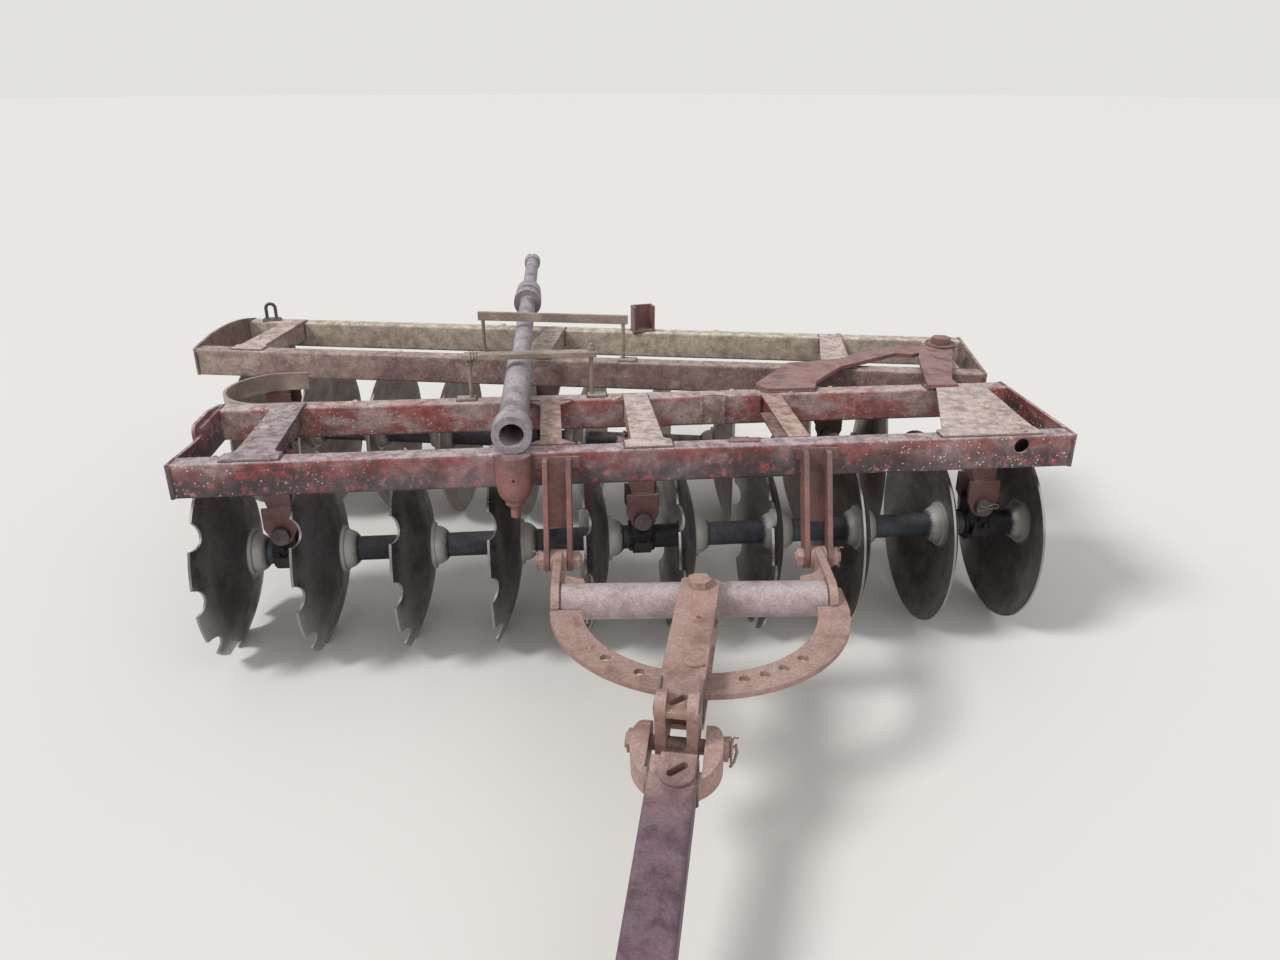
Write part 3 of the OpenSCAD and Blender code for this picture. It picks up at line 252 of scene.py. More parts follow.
def weather_group():
    """Old paint: patches, a dirty lower band, rust, dust on top, and white flecks."""
    net, given, out = new_group(
        "weathered_paint",
        {"Paint": shade(134, 60, 62), "Faded": shade(142, 110, 108), "Grime": shade(54, 48, 49),
         "Rust": shade(94, 66, 58), "Dust": shade(186, 168, 158), "Fading": 0.5, "Soiling": 0.3,
         "Grime Low": 0.60, "Grime High": 0.64, "Rusting": 0.4, "Dusting": 0.8, "Flecks": 0.5,
         "Edge": 0.0},
        {"Color": "Color", "Roughness": "Float", "Height": "Float"})
    at = net.place()
    wide = net.noise(at, 3.1, 3.0, 0.5, 0.4)
    patch = net.noise(net.mapped(at, scale=(0.7, 0.7, 1.6)), 13.0, 7.0, 0.64, 0.3)
    blot = net.noise(net.mapped(at, at=(0.7, 2.1, 1.4)), 31.0, 8.0, 0.70)
    streak = net.noise(net.mapped(at, scale=(1.0, 1.0, 0.16)), 26.0, 5.0, 0.6)
    grain = net.noise(at, 150.0, 6.0, 0.72)
    up = net.step(net.normal_z(), 0.35, 0.95)
    height = net.split(at)["Z"]

    line = net.minus(0.66, net.times(given["Fading"], 0.32))
    faded = net.step(net.plus(net.times(patch, 0.7), net.times(wide, 0.3)),
                     line, net.add(line, 0.10))
    colour = net.mix(faded, given["Paint"], given["Faded"])
    colour = net.mix(net.times(grain, 0.3), colour, given["Rust"])

    lift = net.add(height, net.times(net.minus(streak, NOISE_MIDDLE), 0.09))
    lift = net.add(lift, net.times(net.minus(wide, NOISE_MIDDLE), 0.16))
    low = net.step(lift, given["Grime High"], given["Grime Low"])
    chips = net.step(net.noise(net.mapped(at, at=(1.3, 0.2, 2.2)), 40.0, 6.0, 0.65), 0.60, 0.53)
    grime = net.times(low, given["Soiling"], net.step(patch, 0.2, 0.55, 0.6, 1.0), chips)
    colour = net.mix(grime, colour, given["Grime"])

    # Edge mask: more rust on edges, and more of the dust colour, which is partly dust and partly a painted
    # highlight
    edge = net.times(given["Edge"], net.step(patch, 0.35, 0.6))
    bare = net.minus(0.74, net.times(given["Rusting"], 0.3))
    spots = net.step(net.plus(blot, net.times(edge, 0.12)), bare, net.add(bare, 0.05))
    colour = net.mix(spots, colour, given["Rust"])

    # Dust on tops, and on edges, where its lighter colour is partly a painted highlight
    settled = net.times(net.plus(net.times(up, 0.95), net.times(edge, 0.5)),
                        net.step(net.plus(net.times(blot, 0.6), net.times(patch, 0.4)),
                                 0.36, 0.56, 0.45, 1.0))
    dust = net.math("MULTIPLY", settled, given["Dusting"], clamp=True)
    haze = net.times(net.step(wide, 0.35, 0.7), given["Dusting"], 0.30)
    colour = net.mix(net.plus(dust, haze), colour, given["Dust"])
    tone = net.times(net.step(blot, 0.32, 0.68, 0.66, 1.26), net.step(grain, 0.3, 0.7, 0.74, 1.22))
    colour = net.mix(1.0, colour, tone, "MULTIPLY")

    where = net.step(net.noise(net.mapped(at, at=(3.1, 1.7, 0.4)), 1.7, 2.0, 0.5), 0.45, 0.60)
    dots = net.step(net.cells(at, 95.0), 0.26, 0.18)
    few = net.step(net.noise(at, 60.0, 1.0, 0.5), 0.50, 0.56)
    fleck = net.times(dots, few, where, given["Flecks"])
    colour = net.mix(fleck, colour, CHALK)

    rough = net.plus(net.step(grain, 0.3, 0.7, 0.46, 0.68), net.times(dust, 0.25))
    bumps = net.add(net.times(grain, 0.35), net.times(blot, 0.6))
    bumps = net.add(net.minus(bumps, net.times(spots, 0.25)), net.times(fleck, 0.4))
    net.fill(out, {"Color": colour, "Roughness": rough, "Height": bumps})
    return net.tree


def steel_group():
    """Bare steel or iron: tone patches, pits, rust bloom and dust."""
    net, given, out = new_group(
        "bare_steel",
        {"Steel": shade(124, 112, 102), "Tone": shade(92, 80, 74), "Rust": shade(92, 68, 55),
         "Dust": shade(186, 168, 158), "Scale": 1.0, "Rusting": 0.4, "Dusting": 0.4, "Edge": 0.0},
        {"Color": "Color", "Roughness": "Float", "Height": "Float", "Rusted": "Float"})
    at = net.node("VectorMath", {0: net.place(), "Scale": given["Scale"]},
                  operation="SCALE")["Vector"]
    wide = net.noise(at, 4.0, 4.0, 0.55, 0.5)
    patch = net.noise(at, 17.0, 7.0, 0.66, 0.2)
    blot = net.noise(net.mapped(at, at=(0.9, 1.6, 2.7)), 58.0, 8.0, 0.74)
    grain = net.noise(at, 170.0, 6.0, 0.72)
    pits = net.step(net.cells(at, 180.0), 0.20, 0.05)
    up = net.step(net.normal_z(), 0.3, 0.95)

    colour = net.mix(net.step(wide, 0.42, 0.58), given["Steel"], given["Tone"])
    colour = net.mix(net.times(net.step(patch, 0.42, 0.66), 0.5), colour, given["Tone"])
    line = net.minus(0.74, net.times(given["Rusting"], 0.35))
    bloom = net.step(net.plus(net.times(patch, 0.5), net.times(blot, 0.5)),
                     line, net.add(line, 0.10))
    colour = net.mix(bloom, colour, given["Rust"])
    # Edges lightened with the dust colour: partly dust, partly a painted highlight
    dust_and_highlight_edge = net.times(given["Edge"], net.step(patch, 0.38, 0.55))
    settled = net.plus(net.times(up, net.step(patch, 0.34, 0.60)), net.times(wide, 0.25))
    dust = net.math("MULTIPLY", net.plus(settled, net.times(dust_and_highlight_edge, 0.6)),
                    given["Dusting"], clamp=True)
    colour = net.mix(dust, colour, given["Dust"])
    tone = net.times(net.step(blot, 0.30, 0.70, 0.86, 1.14), net.step(grain, 0.3, 0.7, 0.76, 1.22))
    colour = net.mix(1.0, colour, tone, "MULTIPLY")
    speck = net.step(grain, 0.36, 0.27)
    colour = net.mix(net.times(speck, 0.45), colour, PIT_BLACK)

    rusted = net.plus(bloom, dust)
    rough = net.plus(net.step(patch, 0.3, 0.7, 0.38, 0.62), net.times(rusted, 0.3))
    bumps = net.add(net.times(grain, 0.4), net.times(blot, 0.6))
    bumps = net.minus(bumps, net.times(pits, 0.25))
    net.fill(out, {"Color": colour, "Roughness": rough, "Height": bumps, "Rusted": rusted})
    return net.tree


def rim_group():
    """How far a point lies from a gang's axis, for what the soil rubs on a disc."""
    net, given, out = new_group("gang_radius", {"Centre": (0.0, 0.0, 0.0), "Turn": 0.0},
                                {"Radius": "Float", "Around": "Vector"})
    moved = net.node("VectorMath", {0: net.place(), 1: given["Centre"]},
                     operation="SUBTRACT")["Vector"]
    turned = net.node("VectorRotate", {"Vector": moved, "Angle": given["Turn"]},
                      rotation_type="Z_AXIS")["Vector"]
    squares = [net.math("POWER", net.math("ABSOLUTE", net.split(turned)[axis]), 2.0)
               for axis in ("Y", "Z")]
    radius = net.math("POWER", net.add(*squares), 0.5)
    net.fill(out, {"Radius": radius, "Around": turned})
    return net.tree


GROUPS = {}


def group(name):
    """The shared node group of that name, built on its first use."""
    builders = {"worn_and_highlit_edges": edge_group, "weathered_paint": weather_group,
                "bare_steel": steel_group, "gang_radius": rim_group}
    if name not in GROUPS:
        GROUPS[name] = builders[name]()
    return GROUPS[name]


# Materials

def rgba(colour):
    """Colour of a socket, from a property's colour or from the usual values."""
    return shade(*colour) if isinstance(colour, tuple) else (*colour, 1.0)


def use_group(net, name, **values):
    inputs = {key.replace("_", " "): value for key, value in values.items()}
    return net.node("Group", inputs, node_tree=group(name))


MATERIALS = {}
# Radii in metres between which soil rubs a disc's rim and a spool's bell, and the print that
# a spool leaves on a disc
RUBBED_RIM = (0.245, 0.325)
RUBBED_BELL = (0.050, 0.064)
SPOOL_PRINT = (0.085, 0.066)
# Where clay crusts end, in metres across: past the harrow's left, and beside the left front
# rail
PAST_LEFT = -9.0
LEFT_RAIL_END = -0.70


def start_material(name):
    material = bpy.data.materials.new(name)
    material.use_nodes = True
    MATERIALS[name] = material
    return Net(material.node_tree), material.node_tree.nodes["Principled BSDF"]


def dress(net, surface, colour, rough, height, depth, normal=None):
    """Feeds a surface its colour, its roughness and bumps of a depth in millimetres."""
    inputs = {"Strength": 1.0, "Distance": depth * MM, "Height": height}
    if normal is not None:
        inputs["Normal"] = normal
    net.fill(surface.inputs, {"Base Color": colour, "Roughness": rough,
                              "Normal": net.node("Bump", inputs)["Normal"]})


def coated(name, shared, round_edge, depth, blend=None, pairs=None, **values):
    """Material of a shared group with worn edges that also carry a painted highlight. blend is an
    axis with two places along it, and pairs holds the two colours that an input has at those places."""
    net, surface = start_material(name)
    # Edge mask: edge wear, and a painted highlight along the edges
    edge = use_group(net, "worn_and_highlit_edges", Radius=round_edge * MM)
    if blend:
        axis, start, end = blend
        mask = net.step(net.split(net.place())[axis], start, end)
        values.update({key: net.mix(mask, *pair) for key, pair in pairs.items()})
    made = use_group(net, shared, Edge=edge["Mask"], **values)
    dress(net, surface, made["Color"], made["Roughness"], made["Height"], depth, edge["Normal"])
    return net, surface, made


def painted(name, paint, faded, dust, **values):
    """Weathered paint. Other colours and amounts go to the shared group."""
    coated(name, "weathered_paint", 5, 1.2, Paint=rgba(paint), Faded=rgba(faded),
           Dust=rgba(dust), **values)


def bare(name, steel, tone, rust, dust, scale, rusting, dusting, round_edge=4, depth=1.0,
         metallic=0.0):
    """Bare or rusty metal."""
    net, surface, made = coated(
        name, "bare_steel", round_edge, depth, Steel=rgba(steel), Tone=rgba(tone),
        Rust=rgba(rust), Dust=rgba(dust), Scale=scale, Rusting=rusting, Dusting=dusting)
    if metallic:
        net.feed(surface.inputs["Metallic"],
                 net.minus(metallic, net.times(made["Rusted"], metallic), clamp=True))


def crust(name, end):
    """Dry clay over old paint; left of end the paint is darker and has less of it."""
    coated(name, "weathered_paint", 5, 3.0, ("X", end + 0.1, end - 0.1), {
        "Paint": (shade(160, 134, 128), shade(112, 86, 86)),
        "Faded": (rgba(finish().clay), shade(142, 124, 126)),
        "Dust": (shade(194, 178, 172), shade(166, 152, 156))},
        Grime=shade(92, 74, 70), Rust=shade(132, 98, 92), Fading=0.6, Soiling=0.55,
        Grime_Low=0.62, Grime_High=0.69, Rusting=0.36, Dusting=0.9)


def drawbar_rust(name):
    """Purple skin of the drawbar, pinkish and dusty towards the knuckle."""
    knuckle = JOINTS["drawbar_pitch"]["pos_m"][1]
    coated(name, "bare_steel", 4, 1.2, ("Y", knuckle - 0.26, knuckle - 0.05), {
        "Steel": (rgba(finish().purple), rgba(finish().rust)),
        "Tone": (shade(82, 60, 72), shade(134, 104, 98)),
        "Dust": (shade(142, 120, 128), shade(190, 168, 160))},
        Rust=shade(100, 72, 72), Scale=1.3, Dusting=0.38)


def gang_ring(net, joint):
    """Where a point lies round the axis of a gang."""
    axis = Vector(JOINTS[joint]["axis"])
    return use_group(net, "gang_radius", Centre=tuple(JOINTS[joint]["pos_m"]),
                     Turn=-math.atan2(axis.y, axis.x))


def disc_steel(name, joint, face, tone, rub, dusting):
    """Disc steel: dark or dusty face, rubbed brighter to a thin bright rim."""
    net, surface = start_material(name)
    bright = rgba(finish().steel)
    made = use_group(net, "bare_steel", Steel=face, Tone=tone, Rust=shade(92, 68, 55),
                     Dust=rgba(finish().clay), Rusting=0.35, Dusting=dusting)
    ring = gang_ring(net, joint)
    wave = net.noise(ring["Around"], 9.0, 4.0, 0.6)
    reach = net.add(ring["Radius"], net.times(wave, 0.05))
    rubbed = net.times(net.step(reach, *RUBBED_RIM), rub)
    colour = net.mix(rubbed, made["Color"], bright)
    print_mask = net.times(net.step(ring["Radius"], *SPOOL_PRINT), 0.5)
    rough = net.minus(made["Roughness"], net.add(net.times(rubbed, 0.20), 0.10), clamp=True)
    net.feed(surface.inputs["Metallic"], net.math(
        "MULTIPLY", net.plus(rubbed, 0.45), net.minus(1.0, made["Rusted"], clamp=True),
        clamp=True))
    dress(net, surface, net.mix(print_mask, colour, bright), rough, made["Height"], 0.6)


def spool_iron(name, joint, dusting):
    """Cast spool: blue grey waist, bells rubbed white where soil slides past."""
    net, surface = start_material(name)
    made = use_group(net, "bare_steel", Steel=shade(78, 82, 92), Tone=shade(48, 50, 58),
                     Rust=shade(70, 62, 58), Dust=rgba(finish().clay), Rusting=0.3,
                     Dusting=dusting)
    wave = net.noise(net.place(), 70.0, 5.0, 0.7)
    reach = net.add(gang_ring(net, joint)["Radius"], net.times(wave, 0.02))
    rubbed = net.times(net.step(reach, *RUBBED_BELL), 0.85)
    colour = net.mix(rubbed, made["Color"], shade(188, 184, 178))
    surface.inputs["Metallic"].default_value = 0.35
    dress(net, surface, colour, made["Roughness"], made["Height"], 1.4)


def build_materials():
    """Every finish of the harrow. A bare metal has its steel, a darker tone, rust and dust,
    then the scale of its pattern and how much rust and dust it has."""
    f = finish()
    painted("front_red", f.red, f.red_faded, (172, 158, 160), Fading=0.56, Soiling=0.95,
            Grime_Low=0.628, Grime_High=0.698, Dusting=0.95, Flecks=1.0)
    painted("second_red", (156, 88, 86), (168, 144, 140), (186, 170, 167), Fading=0.68,
            Rusting=0.42, Flecks=1.0)
    painted("mauve", f.mauve, (156, 138, 130), (182, 166, 156), Rust=shade(110, 86, 78),
            Fading=0.45, Rusting=0.47, Dusting=0.55)
    painted("tan", f.tan, (174, 160, 144), (198, 188, 174), Grime=shade(104, 92, 82),
            Rust=shade(138, 114, 102), Fading=0.6, Grime_High=0.65, Flecks=0.3)
    painted("orange_red", (152, 92, 86), (164, 130, 122), f.clay, Soiling=0.4, Grime_Low=0.62,
            Grime_High=0.68, Dusting=0.7, Flecks=0.4)
    crust("clay_crust", PAST_LEFT)
    crust("mauve_crust", LEFT_RAIL_END)
    drawbar_rust("purple_rust")
    bare("tube_mauve", (164, 146, 147), (134, 114, 114), (120, 92, 86), (192, 182, 182), 1.1,
         0.45, 0.55)
    bare("even_rust", f.rust, (136, 104, 96), (106, 74, 66), (188, 166, 158), 1.0, 0.46, 0.42)
    bare("bracket_red", (134, 88, 84), (106, 74, 72), (88, 62, 57), (182, 162, 157), 1.2,
         0.47, 0.42)
    bare("spindle_grey", (142, 134, 142), (108, 98, 104), (122, 94, 88), (196, 188, 190), 1.0,
         0.45, 0.55)
    bare("tan_bar", (156, 140, 128), (124, 106, 96), (120, 90, 78), (190, 178, 166), 1.5,
         0.4, 0.5)
    bare("pin_steel", (112, 102, 101), (76, 68, 67), (96, 68, 58), (160, 146, 138), 1.6,
         0.45, 0.35, metallic=0.4)
    bare("bright_wire", (190, 186, 180), (150, 144, 138), (120, 96, 80), (186, 176, 164), 3.0,
         0.2, 0.2, metallic=0.6)
    bare("grease", f.grease, (24, 23, 24), (64, 56, 53), (124, 114, 106), 1.8, 0.35, 0.25,
         depth=2.0)
    bare("weld", (104, 84, 80), (72, 58, 56), (110, 80, 72), (170, 154, 146), 2.2, 0.45, 0.4,
         depth=1.6)
    bare("clay_lump", (188, 172, 156), (162, 144, 128), (150, 126, 110), (206, 194, 180), 2.0,
         0.2, 0.5, round_edge=2, depth=1.5)
    disc_steel("dark_disc", "front_gang_spin", shade(96, 91, 93), shade(60, 56, 58), 0.6, 0.35)
    disc_steel("dusty_disc", "rear_gang_spin", shade(124, 112, 102), shade(92, 80, 74), 0.25,
               0.8)
    spool_iron("front_spool", "front_gang_spin", 0.15)
    spool_iron("rear_spool", "rear_gang_spin", 0.6)


# Finish of each CAD node
CAD_FINISH = {
    "front_red": "front_beam front_end_plates",
    "second_red": "second_beam",
    "mauve": "rear_front_beam rear_end_plates",
    "tan": "rear_back_beam",
    "clay_crust": "rear_rails hinge_seat",
    "mauve_crust": "front_rails",
    "orange_red": "front_channels",
    "tube_mauve": "hitch_tube",
    "even_rust": "hitch_cheeks quadrant head_plates head_pin ear_pins knuckle_cheeks "
                 "knuckle_pin",
    "bracket_red": "ear_brackets jack_socket hinge_bracket front_hangers rear_hangers "
                   "post_bracket hinge_pin",
    "purple_rust": "drawbar_beam hitch_eye",
    "spindle_grey": "spindle_tube spindle_rod",
    "tan_bar": "front_hoop rear_hoop strap_loop",
    "pin_steel": "front_hanger_pins rear_hanger_pins front_shaft rear_shaft tow_hook",
    "grease": "front_bearings rear_bearings",
    "dark_disc": "notched_discs front_plain_discs",
    "dusty_disc": "rear_discs",
    "front_spool": "front_spools",
    "rear_spool": "rear_spools",
}


# Shapes, built in a body's own axes in millimetres

def at(x, y, z):
    return Matrix.Translation((x, y, z))


def spin(degrees, axis):
    return Matrix.Rotation(math.radians(degrees), 4, axis)


def facing(direction):
    """Turns +Z towards a direction."""
    return Vector(direction).to_track_quat("Z", "Y").to_matrix().to_4x4()


def new_verts(made):
    return [g for g in made["geom"] if isinstance(g, bmesh.types.BMVert)]


def break_edge(bm, lid, offset):
    """Takes the sharp edge off round one face."""
    return bmesh.ops.bevel(bm, geom=list(lid.edges), offset=offset, offset_type="OFFSET",
                           segments=2, profile=0.5, affect="EDGES", material=-1)


def boss(bm, place, width, height, segments, edge):
    """Round or six-sided piece that stands on a plane, with its upper edge broken."""
    made = bmesh.ops.create_cone(
        bm, cap_ends=True, segments=segments, radius1=width / 2, radius2=width / 2, depth=height,
        matrix=place @ at(0, 0, height / 2))
    axis = place.to_3x3() @ Vector((0, 0, 1))
    faces = {f for v in made["verts"] for f in v.link_faces}
    break_edge(bm, max(faces, key=lambda f: f.calc_center_median().dot(axis)), edge)


def hexagon(bm, place, across, height):
    """Nut or bolt head."""
    boss(bm, place, 2 * across / math.sqrt(3), height, 6, across * 0.07)


def washer(bm, place, width, height, segments=20):
    boss(bm, place, width, height, segments, min(height, width) * 0.2)


def bolt(bm, place, across, tip=6):
    """Washer, nut and the bolt's end past it."""
    seat = 2.5
    washer(bm, place, across * 1.35, seat)
    hexagon(bm, place @ at(0, 0, seat), across, across * 0.55)
    washer(bm, place @ at(0, 0, seat + across * 0.5), across * 0.55, tip + across * 0.05, 12)


def edges_among(verts):
    return {e for v in verts for e in v.link_edges if all(w in verts for w in e.verts)}


def sweep(bm, points, radii, segments=6, closed=False):
    """Tube along points; radii is one number or one for each point."""
    points = [Vector(p) for p in points]
    count = len(points)
    if not hasattr(radii, "__len__"):
        radii = [radii] * count
    frames = []
    side = None
    for i, (point, radius) in enumerate(zip(points, radii)):
        before = points[i - 1] if i or closed else point
        after = points[(i + 1) % count] if i + 1 < count or closed else point
        along = (after - before).normalized()
        side = along.orthogonal() if side is None else side - along * side.dot(along)
        side.normalize()
        turn = Matrix((side, along.cross(side), along)).transposed().to_4x4()
        frames.append(Matrix.Translation(point) @ turn @ Matrix.Diagonal((radius, radius, 1, 1)))
    first = bmesh.ops.create_circle(bm, cap_ends=not closed, segments=segments, radius=1.0,
                                    matrix=frames[0])["verts"]
    ring = first
    for i in range(1, count):
        ring = new_verts(bmesh.ops.extrude_edge_only(bm, edges=list(edges_among(ring))))
        bmesh.ops.transform(bm, matrix=frames[i] @ frames[i - 1].inverted(), verts=ring)
    if closed:
        bmesh.ops.bridge_loops(bm, edges=list(edges_among(ring) | edges_among(first)))
    else:
        bmesh.ops.edgeloop_fill(bm, edges=list(edges_among(ring)))


def spaced(points, step, closed):
    """Points at even steps along a broken line."""
    points = [Vector(p) for p in points]
    if closed:
        points.append(points[0])
    out = []
    for a, b in zip(points, points[1:]):
        n = max(1, round((b - a).length / step))
        out += [a.lerp(b, i / n) for i in range(n)]
    return out if closed else out + [points[-1]]


def bead(bm, points, radius, closed, seed):
    """Weld bead: an uneven, rippled half-buried rope."""
    uneven = 0.10
    draw = random.Random(seed)
    line = spaced(points, radius * 0.8, closed)
    line = [p + Vector([draw.uniform(-uneven, uneven) * radius for k in range(3)]) for p in line]
    radii = [radius * ((1.0, 0.8)[i % 2] + draw.uniform(-uneven, uneven))
             for i in range(len(line))]
    if not closed:
        radii[0] = radii[-1] = radius * 0.4
    sweep(bm, line, radii, closed=closed)


def circle(radius, count):
    """Points round a circle in the XY plane."""
    step = math.tau / count
    return [Vector((radius * math.cos(i * step), radius * math.sin(i * step), 0))
            for i in range(count)]


def slab(bm, place, outline, thickness, edge):
    """Plate of an outline, standing up from its plane, its upper edge broken."""
    face = bm.faces.new([bm.verts.new((x, y, 0)) for x, y in outline])
    made = bmesh.ops.extrude_face_region(bm, geom=[face])
    top = new_verts(made)
    bmesh.ops.translate(bm, vec=(0, 0, thickness), verts=top)
    lid = [g for g in made["geom"] if isinstance(g, bmesh.types.BMFace)][0]
    verts = list(face.verts) + top
    bmesh.ops.recalc_face_normals(bm, faces=list({f for v in verts for f in v.link_faces}))
    everything = set(verts) | set(break_edge(bm, lid, edge)["verts"])
    bmesh.ops.transform(bm, matrix=place, verts=[v for v in everything if v.is_valid])


def clod(bm, place, size, draw):
    """Uneven lump with a flat underside."""
    made = bmesh.ops.create_icosphere(bm, subdivisions=2, radius=1.0)
    for v in made["verts"]:
        v.co *= 1.0 + draw.uniform(-0.16, 0.16)
        v.co.z = max(v.co.z, -0.35)
    turn = Matrix.Rotation(draw.uniform(0, math.tau), 4, "Z")
    bmesh.ops.transform(bm, matrix=place @ turn @ Matrix.Diagonal((*size, 1)),
                        verts=made["verts"])


def cotter(bm, place, reach, wire):
    """Split pin through a pin's end: an eye on one side, two bent legs on the other."""
    eye = [(-reach - 5 + 6 * math.cos(a), 0, 6 * math.sin(a))
           for a in (math.tau * k / 10 for k in range(1, 10))]
    legs = [[(reach, 0, 0), (reach + 9, s * 4, 0), (reach + 8, s * 14, 0)] for s in (-1, 1)]
    for line in [eye, [(-reach, 0, 0), (reach + 2, 0, 0)]] + legs:
        sweep(bm, [place @ Vector(p) for p in line], wire)


def added(name, data):
    """Object of that data in the scene."""
    made = bpy.data.objects.new(name, data)
    bpy.context.scene.collection.objects.link(made)
    return made


def meshed(name, bm):
    """Object of a finished bmesh."""
    mesh = bpy.data.meshes.new(name)
    bm.to_mesh(mesh)
    bm.free()
    return added(name, mesh)


def finished(name, bm, body, material, axes=None):
    """Puts a mesh in its body's axes, or in other ones, and sends it with that body."""
    crease = math.radians(38)
    bmesh.ops.scale(bm, vec=(MM, MM, MM), verts=bm.verts)
    bmesh.ops.transform(bm, matrix=AXES[axes or body], verts=bm.verts)
    bmesh.ops.recalc_face_normals(bm, faces=bm.faces)
    for face in bm.faces:
        face.smooth = True
    for edge in bm.edges:
        if len(edge.link_faces) == 2 and edge.calc_face_angle(0.0) > crease:
            edge.smooth = False
    piece = meshed(name, bm)
    piece.data.materials.append(MATERIALS[material])
    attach(piece, body)


# Places of the CAD's pieces in their bodies' axes, in millimetres: u goes along a frame, d
# across it. Heights are over the ground, BEAM_Z and RAIL_Z those of the undersides
FRAME_TOP = 700
BEAM_Z = 600
RAIL_Z = 630
COVER_TOP = 706
HANGER_PIN_Z = 387
GANG_Z = 305
RAIL_HALF = 38
# Bolts round a hanger's place: in its head plate, and in the bearing's flanges
HEAD_BOLTS = ((-48, 48), (-34, 34))
HEAD_PLATE = 12
FLANGE_BOLTS = ((-17, 17), (-63, 63))
FLANGE = 13
FRONT_RAILS = (-1050, 30, 1110)
REAR_RAILS = (-1228, -148, 932)
SIDES = (("front", FRONT_RAILS), ("rear", REAR_RAILS))
# The rails' covers: left and right edge of the front foot and of the rear lap, and how far
# the lap reaches, 0 where there is none
FRONT_COVERS = ((-72, 82, -38, 52, 30), (-66, 66, -38, 38, 30), (-244, 50, -98, 66, 0))
REAR_COVERS = ((-60, 58, -38, 38, 30), (-62, 62, -38, 38, 30), (-82, 62, -40, 40, 30))
# Depths of the beams' faces: front face, inside, inside, rear face
FRONT_FACES = (-250, -190, 190, 250)
REAR_FACES = (-240, -180, 180, 240)
# Middles of the beams that clods lie on, the rearmost one twice, for twice as many
CLOD_BEAMS = ((220,), (210, 210, -210))
# Halves of the frames' lengths
FRONT_END = 1250
REAR_END = 1422.5
# Places along the front frame, the hinge's with its depth
CHANNELS = (-240, 465)
SPINDLE_U = -345
HINGE = (1180, 595)
SPLICE_U = 278
HOOP_LEG = Vector((-486, 226, 840))
# Hitch: the ears' reach from the front beam, their pins' height, and the middle and outer face
# of each pair of them
EAR_REACH = 95
EAR_PIN_Z = 405
EARS = 361
EARS_FACE = 400
TUBE = Vector((0, -183, -25))
TUBE_R = 47.5
# The head pin's sleeve: its middle across and along the hitch, and its radius
SLEEVE = (12, -221, 35)
HEAD_TOP = 66.5
HITCH_TURN = math.radians(3.7)
# Beads on the frames' tops stand a little above them
TOP_BEAD = FRAME_TOP + 1


def ear_face(x):
    """Depth of the front beam's face in the hitch's axes, at a place across the hitch."""
    return (EAR_REACH + x * math.sin(HITCH_TURN)) / math.cos(HITCH_TURN)


def flat(z, *points):
    """Line at one height."""
    return [(u, d, z) for u, d in points]


def box_line(u0, u1, d0, d1, z=TOP_BEAD):
    return flat(z, (u0, d0), (u1, d0), (u1, d1), (u0, d1))


def round_foot(left, right, near, far):
    """Line round three sides of a plate that lies on a beam."""
    return flat(TOP_BEAD, (left, near), (left, far), (right, far), (right, near))


def upright(u, d, low, high):
    return [(u, d, low), (u, d, high)]


def cover_beads(rails, covers, faces):
    """Beads round the covers' feet and rear laps, and along the rails."""
    lines = []
    front, inside, behind = faces[0] + 10, faces[1] - 4, faces[2] + 3
    for rail, (foot_left, foot_right, lap_left, lap_right, lap) in zip(rails, covers):
        lines.append(round_foot(rail + foot_left, rail + foot_right, inside, front))
        if lap:
            lines.append(round_foot(rail + lap_left, rail + lap_right, behind, faces[2] + lap))
        for u, d in product((rail - RAIL_HALF, rail + RAIL_HALF), faces[1:3]):
            lines.append(upright(u, d, RAIL_Z + 4, FRAME_TOP - 2))
    return lines


def end_beads(end, faces):
    """Beads where the beams meet a frame's end plates."""
    lines = []
    for u in (-end, end):
        for d0, d1, out in ((faces[0], faces[1], faces[0]), (faces[2], faces[3], faces[3])):
            lines.append(flat(FRAME_TOP - 1, (u, d0 + 8), (u, d1 - 8)))
            lines.append(upright(u, out, BEAM_Z + 8, FRAME_TOP - 9))
    return lines


def hanger_beads(rails, side):
    """Beads where a hanger's column meets its head plate and its shields."""
    lines = []
    under_head, under_shield = 617, 469
    for u in rails:
        left, low, right = u - side * 70, u - side * 30, u + side * 37
        for d in (-38, 38):
            lines.append(flat(under_head, (left, d), (right, d)))
            lines.append(flat(under_shield, (low, d * 1.04), (right, d * 1.04)))
        lines += [flat(under_head, (end, -38), (end, 38)) for end in (left, right)]
    return lines


def make_beads(bm, seed, lines, rings=()):
    radius = fastenings().bead / MM
    for k, line in enumerate(lines):
        bead(bm, line, radius, False, seed + k)
    for k, ring in enumerate(rings):
        bead(bm, ring, radius, True, seed + 500 + k)


def weld(name, body, seed, lines, rings=(), axes=None):
    """Piece of weld beads along open lines and round closed rings."""
    bm = bmesh.new()
    make_beads(bm, seed, lines, rings)
    finished(name, bm, body, "weld", axes)


# Operators

